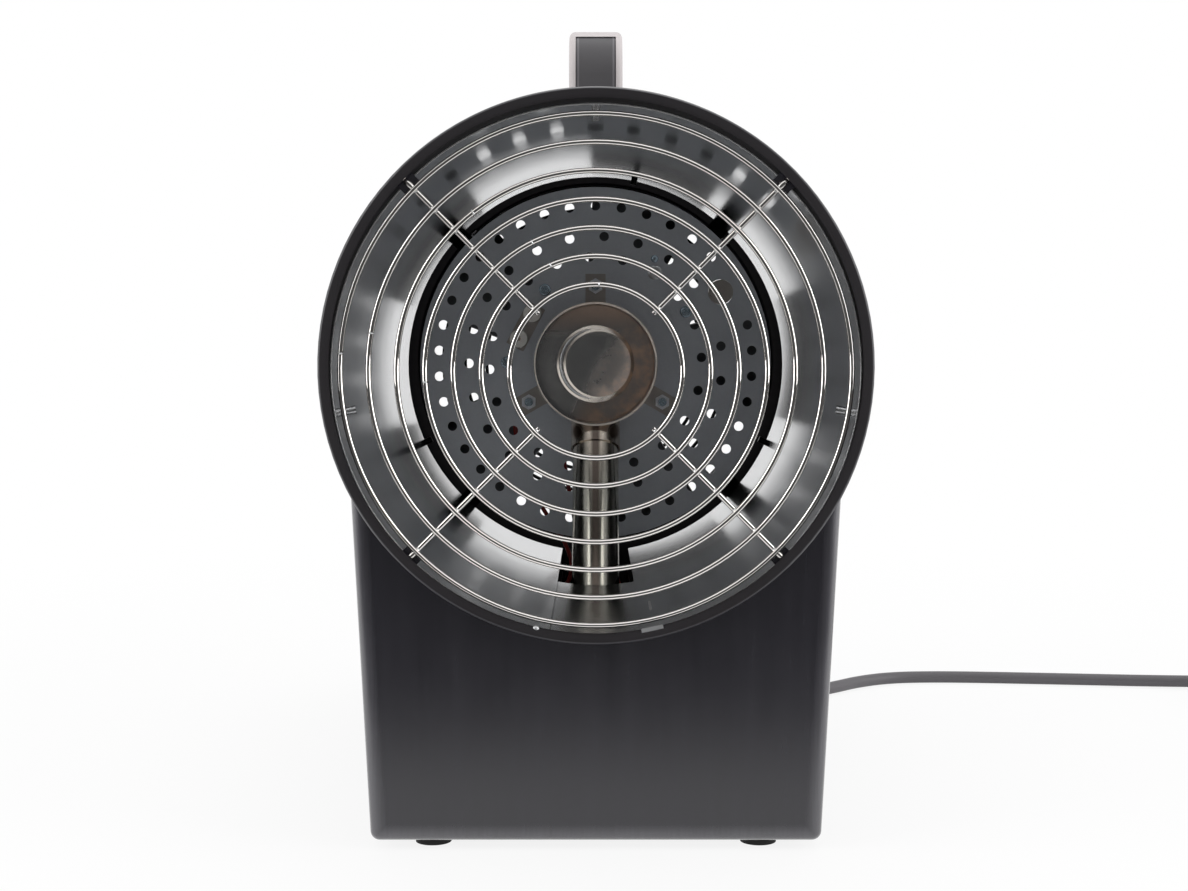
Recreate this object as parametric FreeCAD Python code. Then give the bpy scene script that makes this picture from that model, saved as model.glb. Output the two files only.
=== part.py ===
import FreeCAD, Part
import math
import os

from FreeCAD import Vector

# Forced-air gas space heater. Millimetres, +Z up, the hot-air mouth faces -Y.
# Depths are measured backwards from the drum's front edge.

# Drum, the outer casing
drum_diameter = 250.0
drum_wall = 1.0
drum_length = 445.0
drum_axis_height = 224.7
bead_diameter = 5.0

# Combustion chamber, a polished tube hung a little low in the drum
chamber_air = 3.8
chamber_wall = 0.8
chamber_recess = 8.0
rear_room = 111.0
chamber_drop = 1.6
chamber_slot_width = 42.0
chamber_slot_length = 161.0
chamber_spacer_diameter = 9.0
chamber_spacer_inset = 14.0
chamber_rear_angles = (78.0, 205.0, 335.0)
chamber_front_angles = (90.0, 190.0, 350.0)

# Wire guard at the mouth
guard_wire = 2.5
guard_inner_radius = 39.0
guard_margin = 4.26
guard_rings = 7
guard_spokes = 4
guard_weld = 0.5
guard_clip_width = 9.0
guard_clip_depth = 7.0

# Flame plate inside the chamber, with open air all round it
plate_air = 13.9
plate_thickness = 1.2
plate_inset = 64.0
plate_flange = 8.0
lead_notch = 48.0
plate_bore = 40.0
plate_hole = 5.7
outer_hole_margin = 11.2
middle_hole_step = 18.1
inner_hole_step = 12.3
outer_holes = 38
middle_holes = 23
inner_holes = 20
hole_stagger = 0.5
inner_hole_stagger = 0.18
plate_bracket_width = 12.0
plate_bracket_length = 14.0
plate_bracket_gap = 6.0
plate_bracket_angles = (47.5, 137.5, 227.5, 317.5)

# Burner head, its cap and brackets
cup_diameter = 71.0
cup_depth = 39.0
cup_wall = 1.2
cup_plate_gap = 12.0
cap_diameter = 43.6
cap_shoulder = 3.0
cap_height = 9.0
cap_recess = 4.0
cap_stem_diameter = 16.0
bracket_width = 12.0
bracket_thickness = 1.5
bracket_foot = 18.0
bracket_lap = 6.0
burner_bolt_diameter = 5.0
burner_nut_width = 8.0
burner_nut_height = 4.0

# Mixing tube, slanting forwards and down into the base
tube_diameter = 26.5
tube_wall = 1.2
tube_slope = 62.0
tube_length = 135.0
collar_wall = 0.9
collar_length = 9.0
drum_slot_margin = 6.0

# Injector and its holder at the foot of the mixing tube
holder_wall = 3.0
holder_lap = 14.0
holder_reach = 18.0
holder_foot_width = 16.0
air_window = 11.0
injector_diameter = 8.0
injector_tip = 10.0
injector_hex = 11.0
injector_tail = 10.0

# Sensors on the flame plate
sensor_slot_width = 11.6
sensor_slot_length = 28.4
sensor_radius = 47.5
sensor_angle = 152.0
sensor_pitch = 17.1
insulator_diameter = 10.5
insulator_length = 15.0
insulator_proud = 8.0
electrode_diameter = 2.4
electrode_reach = 26.0
thermostat_diameter = 14.6
thermostat_height = 9.0
thermostat_radius = 86.5
thermostat_angle = 29.7
thermostat_tab = 62.5

# Fan, motor and rear grille
fan_tip_air = 15.0
fan_blades = 5
fan_hub_diameter = 44.0
fan_hub_length = 26.0
fan_setback = 46.0
blade_thickness = 1.6
blade_pitch = 27.0
blade_root_width = 30.0
blade_tip_width = 78.0
blade_rest_angle = 1.0
shaft_diameter = 6.0
motor_diameter = 72.0
motor_length = 36.0
motor_gap = 9.0
motor_boss_diameter = 20.0
motor_boss_length = 4.0
grille_wire = 2.5
grille_inner_radius = 46.0
grille_margin = 3.0
grille_rings = 6
grille_spokes = 4
grille_hub_diameter = 84.0
grille_hub_thickness = 1.7
grille_inset = 4.0
grille_tab_width = 12.0
grille_tab_length = 11.0

# Base box
base_setback = 20.0
base_length = 272.0
base_bottom_width = 210.4
base_top_margin = 0.8
base_top = 175.0
base_wall = 1.2
base_corner = 4.5
base_rear_lip = 2.0
panel_thickness = 1.5
panel_flange = 12.0
saddle_inset = 34.0
saddle_spacing = 80.0
saddle_flange = 16.0
saddle_sheet = 1.5
saddle_height = 30.0

# Feet
foot_height = 4.0
foot_diameter = 17.0
foot_spread = 154.0
foot_inset = 17.0

# Handle
handle_width = 27.0
handle_start = 105.0
handle_length = 196.0
handle_rise = 46.3
handle_thickness = 12.0
handle_leg = 14.0
handle_corner = 24.0
handle_inner_corner = 12.0
handle_edge = 3.2
inlay_width = 20.4
inlay_depth = 2.2
inlay_top_margin = 4.4
inlay_sink = 0.6

# Gas valve and the controls on the rear panel
valve_width = 70.0
valve_height = 56.0
valve_depth = 40.0
valve_left = -92.0
valve_bottom = 24.0
inlet_x = -74.0
inlet_z = 36.0
inlet_diameter = 13.2
inlet_thread = 14.0
inlet_body_diameter = 15.0
inlet_hex = 22.0
inlet_nut_height = 6.0
button_x = -74.0
button_z = 63.0
button_diameter = 14.0
button_proud = 12.0
button_stem_diameter = 7.0
button_travel = 5.0
knob_x = -40.0
knob_z = 54.0
knob_diameter = 30.0
knob_height = 16.0
knob_air = 1.5
spindle_diameter = 6.0
spindle_depth = 16.0
outlet_boss_diameter = 14.0
outlet_boss_length = 8.0
gas_pipe_diameter = 6.0

# Piezo igniter
piezo_x = 0.0
piezo_z = 54.0
piezo_diameter = 18.0
piezo_length = 36.0
piezo_flange_diameter = 24.0
piezo_flange = 2.5
piezo_nut_width = 24.0
piezo_nut_height = 4.0
piezo_button_diameter = 12.0
piezo_button_proud = 9.0
piezo_button_depth = 14.0
piezo_travel = 6.0

# Power switch
switch_x = 44.0
switch_z = 56.0
switch_width = 20.0
switch_height = 28.0
switch_depth = 16.0
switch_frame = 2.6
switch_bezel = 2.5
rocker_tilt = 8.0
rocker_depth = 8.0
rocker_play = 0.6
rocker_side_play = 0.3
rocker_pin_diameter = 3.0

# Terminal block
terminal_width = 30.0
terminal_depth = 18.0
terminal_height = 16.0
terminal_x = 62.0
terminal_setback = 70.0

# Mains lead, its gland, put-away coil, tie and plug
lead_diameter = 8.0
gland_x = 80.0
gland_z = 20.0
gland_length = 22.0
gland_diameter = 17.0
gland_neck_diameter = 11.0
gland_seat_diameter = 13.0
coil_centre_x = 464.0
coil_centre_depth = 348.7
coil_outer_radius = 48.4
coil_start_angle = 78.0
coil_pitch = 8.6
coil_layer_rise = 8.6
coil_inward_turns = 2.0
coil_climb_turns = 0.5
coil_outward_turns = 1.75
coil_rise_turns = 0.4
coil_lead_in = 10.0
tie_thickness = 1.0
tie_width = 9.0
tie_slack = 0.3
tie_angle = 210.0
plug_diameter = 36.0
plug_body = 34.0
plug_sleeve = 24.0
plug_sleeve_diameter = 13.0
plug_face_diameter = 30.0
plug_nose = 8.0
plug_pin_diameter = 4.8
plug_pin_length = 19.0
plug_pin_spread = 19.0

# Inner leads, held all the way by the casing
wire_diameter = 2.6

# Screws
small_head_diameter = 7.0
small_head_height = 2.4
small_shank_diameter = 3.9
recess_reach = 4.2
recess_width = 1.1
recess_depth = 1.3

# Clearances
seat_gap = 0.1
curved_gap = 0.3
shank_gap = 0.15
running_gap = 0.05
push_gap = 0.3

# How near two lengths are when they count as the same
match = 0.01

# Levels worked out from the sizes above
front_y = -drum_length / 2.0
drum_radius = drum_diameter / 2.0
drum_bore = drum_radius - drum_wall
chamber_z = drum_axis_height - chamber_drop
chamber_radius = drum_bore - chamber_air
chamber_bore = chamber_radius - chamber_wall
chamber_rear = drum_length - rear_room
guard_outer_radius = chamber_bore - guard_margin
guard_pitch = (guard_outer_radius - guard_inner_radius) / (guard_rings - 1)
plate_depth = chamber_rear - plate_inset
plate_radius = chamber_bore - plate_air
plate_rear = plate_depth + plate_thickness
flange_rear = plate_depth + plate_flange
cup_radius = cup_diameter / 2.0
cup_rear = plate_depth - cup_plate_gap
cup_front = cup_rear - cup_depth
tube_radius = tube_diameter / 2.0
fan_depth = chamber_rear + fan_setback
fan_radius = drum_bore - fan_tip_air
grille_depth = drum_length - grille_inset
grille_pitch = (drum_bore - grille_margin - grille_inner_radius) / (grille_rings - 1)
grille_hub_rear = grille_depth - grille_wire * 1.5 + guard_weld * 2.0
motor_rear = grille_hub_rear - grille_hub_thickness
motor_front = motor_rear - motor_length
base_rear = base_setback + base_length
panel_rear = base_rear - base_rear_lip
panel_front = panel_rear - panel_thickness
floor_top = foot_height + base_wall
drum_top = drum_axis_height + drum_radius
handle_top = drum_top + handle_rise
valve_rear = panel_front - seat_gap
valve_front = valve_rear - valve_depth
lead_radius = lead_diameter / 2.0
wire_radius = wire_diameter / 2.0
Y_AXIS = Vector(0, 1, 0)


# Placing and simple solids

def at(x, depth, z):
    """A point from its side place, depth behind the front edge and height."""
    return Vector(x, front_y + depth, z)


def polar(radius, angle, depth, centre_z=drum_axis_height):
    """A point on a circle round a level axis."""
    turn = math.radians(angle)
    return at(radius * math.cos(turn), depth, centre_z + radius * math.sin(turn))


def rod(diameter, start, end):
    """A round bar between two points."""
    return Part.makeCylinder(diameter / 2.0, (end - start).Length, start, end - start)


def disc(diameter, x, z, depth, length):
    """A round bar along the depth."""
    return rod(diameter, at(x, depth, z), at(x, depth + length, z))


def block(x, width, depth, length, z, height):
    """A box from its lowest corner and its three sizes."""
    return Part.makeBox(width, length, height, at(x, depth, z))


def turned(profile, x=0.0, z=drum_axis_height):
    """A solid of revolution round a level axis, from (radius, depth) points."""
    corners = [at(x + radius, depth, z) for radius, depth in profile]
    face = Part.Face(Part.makePolygon(corners + corners[:1]))
    solid = face.revolve(at(x, 0, z), Y_AXIS, 360)
    if solid.Volume < 0:
        solid.reverse()
    return solid


def ring_wire(radius, wire, depth, centre_z):
    """A closed wire ring facing along the depth."""
    return Part.makeTorus(radius, wire / 2.0, at(0, depth, centre_z), Y_AXIS)


def hexagon(width, start, end):
    """A hexagonal bar between two points, sized across its flats."""
    axis = (end - start).normalize()
    side = axis.cross(Vector(1, 0, 0) if abs(axis.x) < 0.9 else Vector(0, 0, 1)).normalize()
    across = axis.cross(side)
    reach = width / math.sqrt(3.0)
    corners = []
    for step in range(7):
        turn = math.radians(60.0 * step)
        corners.append(start + side * (reach * math.cos(turn)) + across * (reach * math.sin(turn)))
    return Part.Face(Part.makePolygon(corners)).extrude(end - start)


def fused(shapes):
    """One solid from several that meet."""
    return shapes[0].multiFuse(shapes[1:]).removeSplitter()


def placed_ring(shape, angle, centre_z=drum_axis_height):
    """A copy of a shape turned about a level axis."""
    copy = shape.copy()
    copy.rotate(at(0, 0, centre_z), Y_AXIS, -angle)
    return copy


def screw(seat, direction, length, head=small_head_diameter, shank=small_shank_diameter,
          head_height=small_head_height):
    """A domed cross-recessed screw: the head stands on the seat, the shank runs along the direction."""
    way = Vector(direction).normalize()
    top = rod(head, seat - way * head_height, seat)
    crown = [edge for edge in top.Edges if (edge.CenterOfMass - (seat - way * head_height)).Length < match]
    top = top.makeFillet(head_height * 0.45, crown[:1])
    side = way.cross(Vector(0, 0, 1) if abs(way.z) < 0.9 else Vector(1, 0, 0)).normalize()
    for along, across in ((side, way.cross(side)), (way.cross(side), side)):
        reach = along * (recess_reach / 2.0)
        half = across * (recess_width / 2.0)
        centre = seat - way * head_height
        corners = [centre - reach - half, centre + reach - half, centre + reach + half, centre - reach + half]
        top = top.cut(Part.Face(Part.makePolygon(corners + corners[:1])).extrude(way * recess_depth))
    return top.fuse(rod(shank, seat, seat + way * length))


def screw_hole(seat, direction, length, shank=small_shank_diameter):
    """The clearance hole for a screw, cut through what it passes."""
    way = Vector(direction).normalize()
    return rod(shank + 2.0 * shank_gap, seat - way * small_head_height, seat + way * length)


def bent_bar(diameter, points, label):
    """A round bar on straight runs joined by arcs as large as the runs allow."""
    edges = []
    radii = []
    start = points[0]
    for before, corner, after in zip(points, points[1:], points[2:]):
        way_in = (corner - before).normalize()
        way_out = (after - corner).normalize()
        half = way_in.getAngle(way_out) / 2.0
        setback = 0.45 * min((corner - before).Length, (after - corner).Length)
        radii.append(setback / math.tan(half))
        enter = corner - way_in * setback
        leave = corner + way_out * setback
        inward = (way_out - way_in).normalize()
        middle = corner + inward * (radii[-1] / math.cos(half) - radii[-1])
        edges.append(Part.LineSegment(start, enter).toShape())
        edges.append(Part.Arc(enter, middle, leave).toShape())
        start = leave
    edges.append(Part.LineSegment(start, points[-1]).toShape())
    path = Part.Wire(edges)
    section = Part.Wire(Part.makeCircle(diameter / 2.0, points[0], points[1] - points[0]))
    solid = path.makePipeShell([section], True, False)
    share = solid.Volume / (math.pi * diameter ** 2 / 4.0 * path.Length)
    print(label, "length", round(path.Length, 1), "volume share", round(share, 4),
          "radii", [round(radius, 1) for radius in radii])
    return solid


def save(name, shape):
    """Write one node; a list is a group of separate solids."""
    solid = Part.makeCompound(shape) if isinstance(shape, list) else shape
    solid.exportStep("parts/%s.step" % name)


os.makedirs("parts", exist_ok=True)

# Drum: a rolled sheet with a curled front edge
bead_radius = bead_diameter / 2.0
bead_back = bead_radius + math.sqrt(bead_radius ** 2 - (bead_radius - drum_wall) ** 2)


def drum_point(radius, depth):
    return at(radius, depth, drum_axis_height)


drum_edges = [
    Part.LineSegment(drum_point(drum_bore, bead_back), drum_point(drum_bore, drum_length)),
    Part.LineSegment(drum_point(drum_bore, drum_length), drum_point(drum_radius, drum_length)),
    Part.LineSegment(drum_point(drum_radius, drum_length), drum_point(drum_radius, bead_radius)),
    Part.Arc(drum_point(drum_radius, bead_radius), drum_point(drum_radius - bead_radius, 0),
             drum_point(drum_radius - bead_diameter, bead_radius)),
    Part.Arc(drum_point(drum_radius - bead_diameter, bead_radius),
             drum_point(drum_radius - bead_radius, bead_diameter), drum_point(drum_bore, bead_back)),
]
drum_face = Part.Face(Part.Wire([edge.toShape() for edge in drum_edges]))
drum = drum_face.revolve(at(0, 0, drum_axis_height), Y_AXIS, 360)
drum_outside = disc(drum_diameter + 2.0 * curved_gap, 0, drum_axis_height, -base_setback,
                    drum_length + 2.0 * base_setback)
drum_inside = disc(2.0 * (drum_bore - seat_gap), 0, drum_axis_height, 0, drum_length)

# Line of the mixing tube
cup_middle = (cup_front + cup_rear) / 2.0
slope = math.radians(tube_slope)
tube_way = Vector(0, -math.cos(slope), -math.sin(slope))
tube_start = at(0, cup_middle, drum_axis_height - cup_radius)
tube_end = tube_start + tube_way * tube_length


def tube_depth(height):
    """Depth at which the mixing tube's axis crosses a height."""
    return cup_middle - (drum_axis_height - cup_radius - height) / math.tan(slope)


# The tube and the inner leads pass through a slot in the drum's underside
tube_half = tube_radius / math.sin(slope)
drum_slot_front = tube_depth(drum_axis_height - drum_radius) - tube_half - drum_slot_margin
drum_slot_length = base_rear - drum_slot_margin - drum_slot_front
drum_slot_width = tube_diameter + 2.0 * drum_slot_margin
drum = drum.cut(block(-drum_slot_width / 2.0, drum_slot_width, drum_slot_front, drum_slot_length,
                      drum_axis_height - drum_radius - drum_wall, drum_radius / 4.0))

# Combustion chamber with the slot that lets the mixing tube through
chamber = turned([(chamber_bore, chamber_recess), (chamber_radius, chamber_recess),
                  (chamber_radius, chamber_rear), (chamber_bore, chamber_rear)], z=chamber_z)
chamber = chamber.cut(block(-chamber_slot_width / 2.0, chamber_slot_width,
                            chamber_rear - chamber_slot_length, chamber_slot_length + chamber_wall,
                            chamber_z - chamber_radius - chamber_wall, chamber_radius / 4.0))

# Spacers and screws that hold the chamber in the drum
chamber_space = drum_inside.cut(disc(2.0 * (chamber_radius + seat_gap), 0, chamber_z, 0, drum_length))
chamber_spacers = []
chamber_screws = []
for angles, depth in ((chamber_front_angles, chamber_recess + 2.0 * chamber_spacer_inset),
                      (chamber_rear_angles, chamber_rear - chamber_spacer_inset)):
    for angle in angles:
        seat = polar(drum_radius, angle, depth)
        inward = at(0, depth, drum_axis_height) - seat
        reach = drum_radius - chamber_bore + chamber_drop + small_shank_diameter
        hole = screw_hole(seat, inward, reach)
        spacer = rod(chamber_spacer_diameter, seat + inward * 0.2, seat).common(chamber_space)
        chamber_spacers.append(spacer.cut(hole))
        chamber_screws.append(screw(seat, inward, reach))
        chamber = chamber.cut(hole)
        drum = drum.cut(hole)

# Wire guard: rings welded in front of four spokes whose ends sit in clips on the drum's wall
spoke_depth = bead_diameter + guard_wire / 2.0 + curved_gap
ring_depth = spoke_depth - guard_wire + guard_weld
clip_inner = guard_outer_radius + guard_wire / 2.0 + curved_gap
clip_reach = drum_bore - chamber_drop - clip_inner
spoke_end = clip_inner + clip_reach / 2.0
chamber_lip = turned([(chamber_bore - seat_gap, chamber_recess - seat_gap),
                      (chamber_radius + seat_gap, chamber_recess - seat_gap),
                      (chamber_radius + seat_gap, chamber_rear), (chamber_bore - seat_gap, chamber_rear)],
                     z=chamber_z)
guard_wires = []
guard_clips = []
for ring in range(guard_rings):
    guard_wires.append(ring_wire(guard_inner_radius + guard_pitch * ring, guard_wire, ring_depth, chamber_z))
for spoke in range(guard_spokes):
    angle = 45.0 + 360.0 / guard_spokes * spoke
    guard_wires.append(rod(guard_wire, polar(guard_inner_radius - guard_wire, angle, spoke_depth, chamber_z),
                           polar(spoke_end, angle, spoke_depth, chamber_z)))
    clip = block(clip_inner, 2.0 * clip_reach, spoke_depth - guard_wire / 2.0, guard_clip_depth,
                 chamber_z - guard_clip_width / 2.0, guard_clip_width)
    clip = clip.cut(rod(guard_wire + 2.0 * seat_gap, polar(0, 0, spoke_depth, chamber_z),
                        polar(spoke_end + seat_gap, 0, spoke_depth, chamber_z)))
    clip = placed_ring(clip, angle, chamber_z).common(drum_inside).cut(chamber_lip)
    guard_clips.append(max(clip.Solids, key=lambda solid: solid.Volume))
wire_guard = fused(guard_wires)

# Burner head: an open cup with a round-shouldered cap on a stem
cup_floor = cup_rear - cup_wall
cup_bore = cup_radius - cup_wall
burner_cup = turned([(0, cup_rear), (cup_radius, cup_rear), (cup_radius, cup_front), (cup_bore, cup_front),
                     (cup_bore, cup_floor), (0, cup_floor)])
burner_cup = burner_cup.cut(rod(tube_diameter - 2.0 * tube_wall, tube_start - tube_way * tube_radius,
                                tube_start + tube_way * tube_radius))
cap_front = cup_front + cap_recess
cap_radius = cap_diameter / 2.0
burner_cap = turned([(0, cup_floor), (cap_stem_diameter / 2.0, cup_floor),
                     (cap_stem_diameter / 2.0, cap_front + cap_height), (cap_radius, cap_front + cap_height),
                     (cap_radius, cap_front), (0, cap_front)])
cap_rims = [edge for edge in burner_cap.Edges if abs(edge.BoundBox.YMax - (front_y + cap_front)) < match]
burner_cap = burner_cap.makeFillet(cap_shoulder, cap_rims)

# Flame plate with its three circles of holes
plate_inner = plate_radius - plate_thickness
flame_plate = turned([(plate_bore / 2.0, plate_depth), (plate_radius, plate_depth),
                      (plate_radius, flange_rear), (plate_inner, flange_rear), (plate_inner, plate_rear),
                      (plate_bore / 2.0, plate_rear)])
thermostat_place = polar(thermostat_radius, thermostat_angle, plate_depth)
thermostat_clear = (thermostat_diameter + plate_hole) / 2.0 + 3.0 * plate_thickness
plate_cuts = []
outer_hole_radius = plate_radius - outer_hole_margin
middle_hole_radius = outer_hole_radius - middle_hole_step
inner_hole_radius = middle_hole_radius - inner_hole_step
for circle, count, stagger in ((outer_hole_radius, outer_holes, hole_stagger),
                               (middle_hole_radius, middle_holes, hole_stagger),
                               (inner_hole_radius, inner_holes, inner_hole_stagger)):
    for number in range(count):
        place = polar(circle, 360.0 / count * (number + stagger), plate_depth)
        if (place - thermostat_place).Length > thermostat_clear:
            plate_cuts.append(rod(plate_hole, place - Y_AXIS * plate_thickness,
                                  place + Y_AXIS * plate_flange))

# Brackets that carry the flame plate: struts from its flange back past the chamber to the drum's wall
plate_brackets = []
plate_bracket_screws = []
strut_radius = plate_inner - seat_gap
strut_inner = strut_radius - bracket_thickness
bracket_depth = chamber_rear + plate_bracket_gap
web_rear = bracket_depth + bracket_thickness
bracket_space = disc(2.0 * (drum_bore - seat_gap), 0, drum_axis_height, plate_depth, drum_length)
strut_ring = turned([(strut_inner, plate_rear + seat_gap), (strut_radius, plate_rear + seat_gap),
                     (strut_radius, web_rear), (strut_inner, web_rear)])
bracket_low = drum_axis_height - plate_bracket_width / 2.0
screw_depth = bracket_depth + plate_bracket_length * 0.6
for angle in plate_bracket_angles:
    strut = block(plate_bore, plate_radius - plate_bore, plate_depth, drum_length, bracket_low,
                  plate_bracket_width).common(strut_ring)
    web = block(strut_inner, drum_radius - strut_inner, bracket_depth, bracket_thickness, bracket_low,
                plate_bracket_width)
    leg = block(drum_bore - 2.0 * bracket_thickness, 2.0 * bracket_thickness, bracket_depth,
                plate_bracket_length, bracket_low, plate_bracket_width)
    seat = polar(drum_radius, angle, screw_depth)
    inward = at(0, screw_depth, drum_axis_height) - seat
    reach = drum_wall + 4.0 * bracket_thickness
    hole = screw_hole(seat, inward, reach)
    bracket = strut.fuse(web.fuse(leg).common(bracket_space))
    plate_brackets.append(placed_ring(bracket, angle).cut(hole).Solids[0])
    plate_bracket_screws.append(screw(seat, inward, reach))
    drum = drum.cut(hole)

# Brackets, bolts and nuts that hold the burner head on the flame plate
burner_brackets = []
burner_bolts = []
burner_nuts = []
bolt_radius = cup_radius + bracket_foot * 0.6
for angle in (90.0, 210.0, 330.0):
    foot = block(cup_radius + seat_gap, bracket_foot, plate_depth - bracket_thickness, bracket_thickness,
                 drum_axis_height - bracket_width / 2.0, bracket_width)
    upright = block(cup_radius + seat_gap, bracket_thickness, cup_rear - bracket_lap,
                    plate_depth - cup_rear + bracket_lap,
                    drum_axis_height - bracket_width / 2.0, bracket_width)
    seat = polar(bolt_radius, angle, plate_rear)
    reach = plate_thickness + bracket_thickness + burner_nut_height + bracket_thickness
    hole = screw_hole(seat, -Y_AXIS, reach, burner_bolt_diameter)
    burner_brackets.append(placed_ring(foot.fuse(upright), angle).cut(hole))
    burner_bolts.append(screw(seat, -Y_AXIS, reach, 1.6 * burner_bolt_diameter, burner_bolt_diameter))
    nut_seat = polar(bolt_radius, angle, plate_depth - bracket_thickness)
    nut = hexagon(burner_nut_width, nut_seat, nut_seat - Y_AXIS * burner_nut_height)
    burner_nuts.append(nut.cut(hole))
    plate_cuts.append(hole)

# Mixing tube and the collar where it joins the burner head
cup_round = disc(cup_diameter + 2.0 * seat_gap, 0, drum_axis_height, cup_front - tube_radius,
                 cup_depth + tube_diameter)
tube_above = tube_start - tube_way * tube_diameter
mixing_tube = rod(tube_diameter, tube_above, tube_end)
mixing_tube = mixing_tube.cut(rod(tube_diameter - 2.0 * tube_wall, tube_above, tube_end)).cut(cup_round)
collar_end = tube_start + tube_way * (tube_radius / math.tan(slope) + collar_length)
tube_collar = rod(tube_diameter + 2.0 * (seat_gap + collar_wall), tube_above, collar_end)
tube_collar = tube_collar.cut(rod(tube_diameter + 2.0 * seat_gap, tube_above, collar_end)).cut(cup_round)
mixing_tube = max(mixing_tube.Solids, key=lambda solid: solid.Volume)
tube_collar = max(tube_collar.Solids, key=lambda solid: solid.Volume)

# Sensors on the flame plate: two insulators on a bracket, and the overheat thermostat
sensor_reach = sensor_slot_length / 2.0 + 2.0 * small_head_diameter
bracket_rear = plate_rear + bracket_thickness
sensor_bracket = block(sensor_radius - sensor_slot_width * 0.6, sensor_slot_width * 1.2, plate_rear,
                       bracket_thickness, drum_axis_height - sensor_reach, 2.0 * sensor_reach)
sensor_slot = block(sensor_radius - sensor_slot_width / 2.0, sensor_slot_width, plate_depth - plate_thickness,
                    2.5 * plate_thickness, drum_axis_height - sensor_slot_length / 2.0, sensor_slot_length)
insulators = []
sensor_rods = []
sensor_places = []
for side in (1.0, -1.0):
    place = at(sensor_radius, plate_depth, drum_axis_height - side * sensor_pitch / 2.0)
    front = place - Y_AXIS * insulator_proud
    back = front + Y_AXIS * insulator_length
    sensor_bracket = sensor_bracket.cut(rod(insulator_diameter + 2.0 * seat_gap, front, back))
    bore = rod(electrode_diameter + 2.0 * seat_gap, front, place)
    insulators.append(placed_ring(rod(insulator_diameter, front, back).cut(bore), sensor_angle))
    sensor_rod = rod(electrode_diameter, front - Y_AXIS * electrode_reach, place)
    sensor_rods.append(placed_ring(sensor_rod, sensor_angle))
    turn = math.radians(sensor_angle)
    up = place.z - drum_axis_height
    sensor_places.append((sensor_radius * math.cos(turn) - up * math.sin(turn),
                          drum_axis_height + sensor_radius * math.sin(turn) + up * math.cos(turn)))
thermostat_front = plate_depth - thermostat_height / 4.0
tab_reach = thermostat_radius - thermostat_tab
small_head_radius = small_head_diameter / 2.0
thermostat = disc(thermostat_diameter, thermostat_radius, drum_axis_height, thermostat_front,
                  thermostat_height)
thermostat = thermostat.fuse(block(thermostat_tab - small_head_radius, tab_reach + small_head_diameter,
                                   plate_rear, bracket_thickness, drum_axis_height - small_head_radius,
                                   small_head_diameter))
plate_screws = []
screw_places = [(thermostat_tab, drum_axis_height, thermostat_angle)]
for side in (1.0, -1.0):
    screw_height = drum_axis_height + side * (sensor_reach - small_head_radius)
    screw_places.append((sensor_radius, screw_height, sensor_angle))
plate_screw_length = plate_thickness + 3.0 * bracket_thickness
for radius, height, angle in screw_places:
    seat = at(radius, plate_depth, height)
    hole = screw_hole(seat, Y_AXIS, plate_screw_length)
    sensor_bracket = sensor_bracket.cut(hole)
    thermostat = thermostat.cut(hole) if height == drum_axis_height else thermostat
    plate_screws.append(placed_ring(screw(seat, Y_AXIS, plate_screw_length), angle))
    plate_cuts.append(placed_ring(hole, angle))
sensor_bracket = placed_ring(sensor_bracket, sensor_angle)
thermostat = placed_ring(thermostat, thermostat_angle)
plate_cuts.append(placed_ring(sensor_slot, sensor_angle))
plate_cuts.append(rod(thermostat_diameter + 2.0 * curved_gap, thermostat_place - Y_AXIS * plate_thickness,
                      thermostat_place + Y_AXIS * plate_flange))

# The flange is notched at the bottom, where the inner leads pass
plate_cuts.append(block(-lead_notch / 2.0, lead_notch, plate_rear, plate_flange,
                        drum_axis_height - plate_radius - plate_thickness, lead_notch / 4.0))
flame_plate = flame_plate.cut(Part.makeCompound(plate_cuts))

# Fan on the motor's shaft
hub_front = fan_depth - fan_hub_length / 2.0
fan_pieces = [disc(fan_hub_diameter, 0, drum_axis_height, hub_front, fan_hub_length)]
fan_sweep = disc(2.0 * fan_radius, 0, drum_axis_height, plate_depth, drum_length)
root = fan_hub_diameter / 2.0 - 2.0 * blade_thickness
tip = fan_radius + blade_thickness
for blade in range(fan_blades):
    corners = [at(root, fan_depth, drum_axis_height - blade_root_width / 2.0),
               at(tip, fan_depth, drum_axis_height - blade_tip_width / 2.0),
               at(tip, fan_depth, drum_axis_height + blade_tip_width / 2.0),
               at(root, fan_depth, drum_axis_height + blade_root_width / 2.0)]
    vane = Part.Face(Part.makePolygon(corners + corners[:1])).extrude(Y_AXIS * blade_thickness)
    vane.translate(Y_AXIS * (-blade_thickness / 2.0))
    vane.rotate(at(0, fan_depth, drum_axis_height), Vector(1, 0, 0), blade_pitch)
    fan_pieces.append(placed_ring(vane.common(fan_sweep), blade_rest_angle + 360.0 / fan_blades * blade))
fan = fused(fan_pieces)
fan = fan.cut(disc(shaft_diameter + 2.0 * running_gap, 0, drum_axis_height, hub_front, fan_hub_length))
shaft_front = hub_front - blade_thickness
shaft_rear = motor_rear - motor_boss_length
motor_shaft = disc(shaft_diameter, 0, drum_axis_height, shaft_front, shaft_rear - shaft_front)

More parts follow.
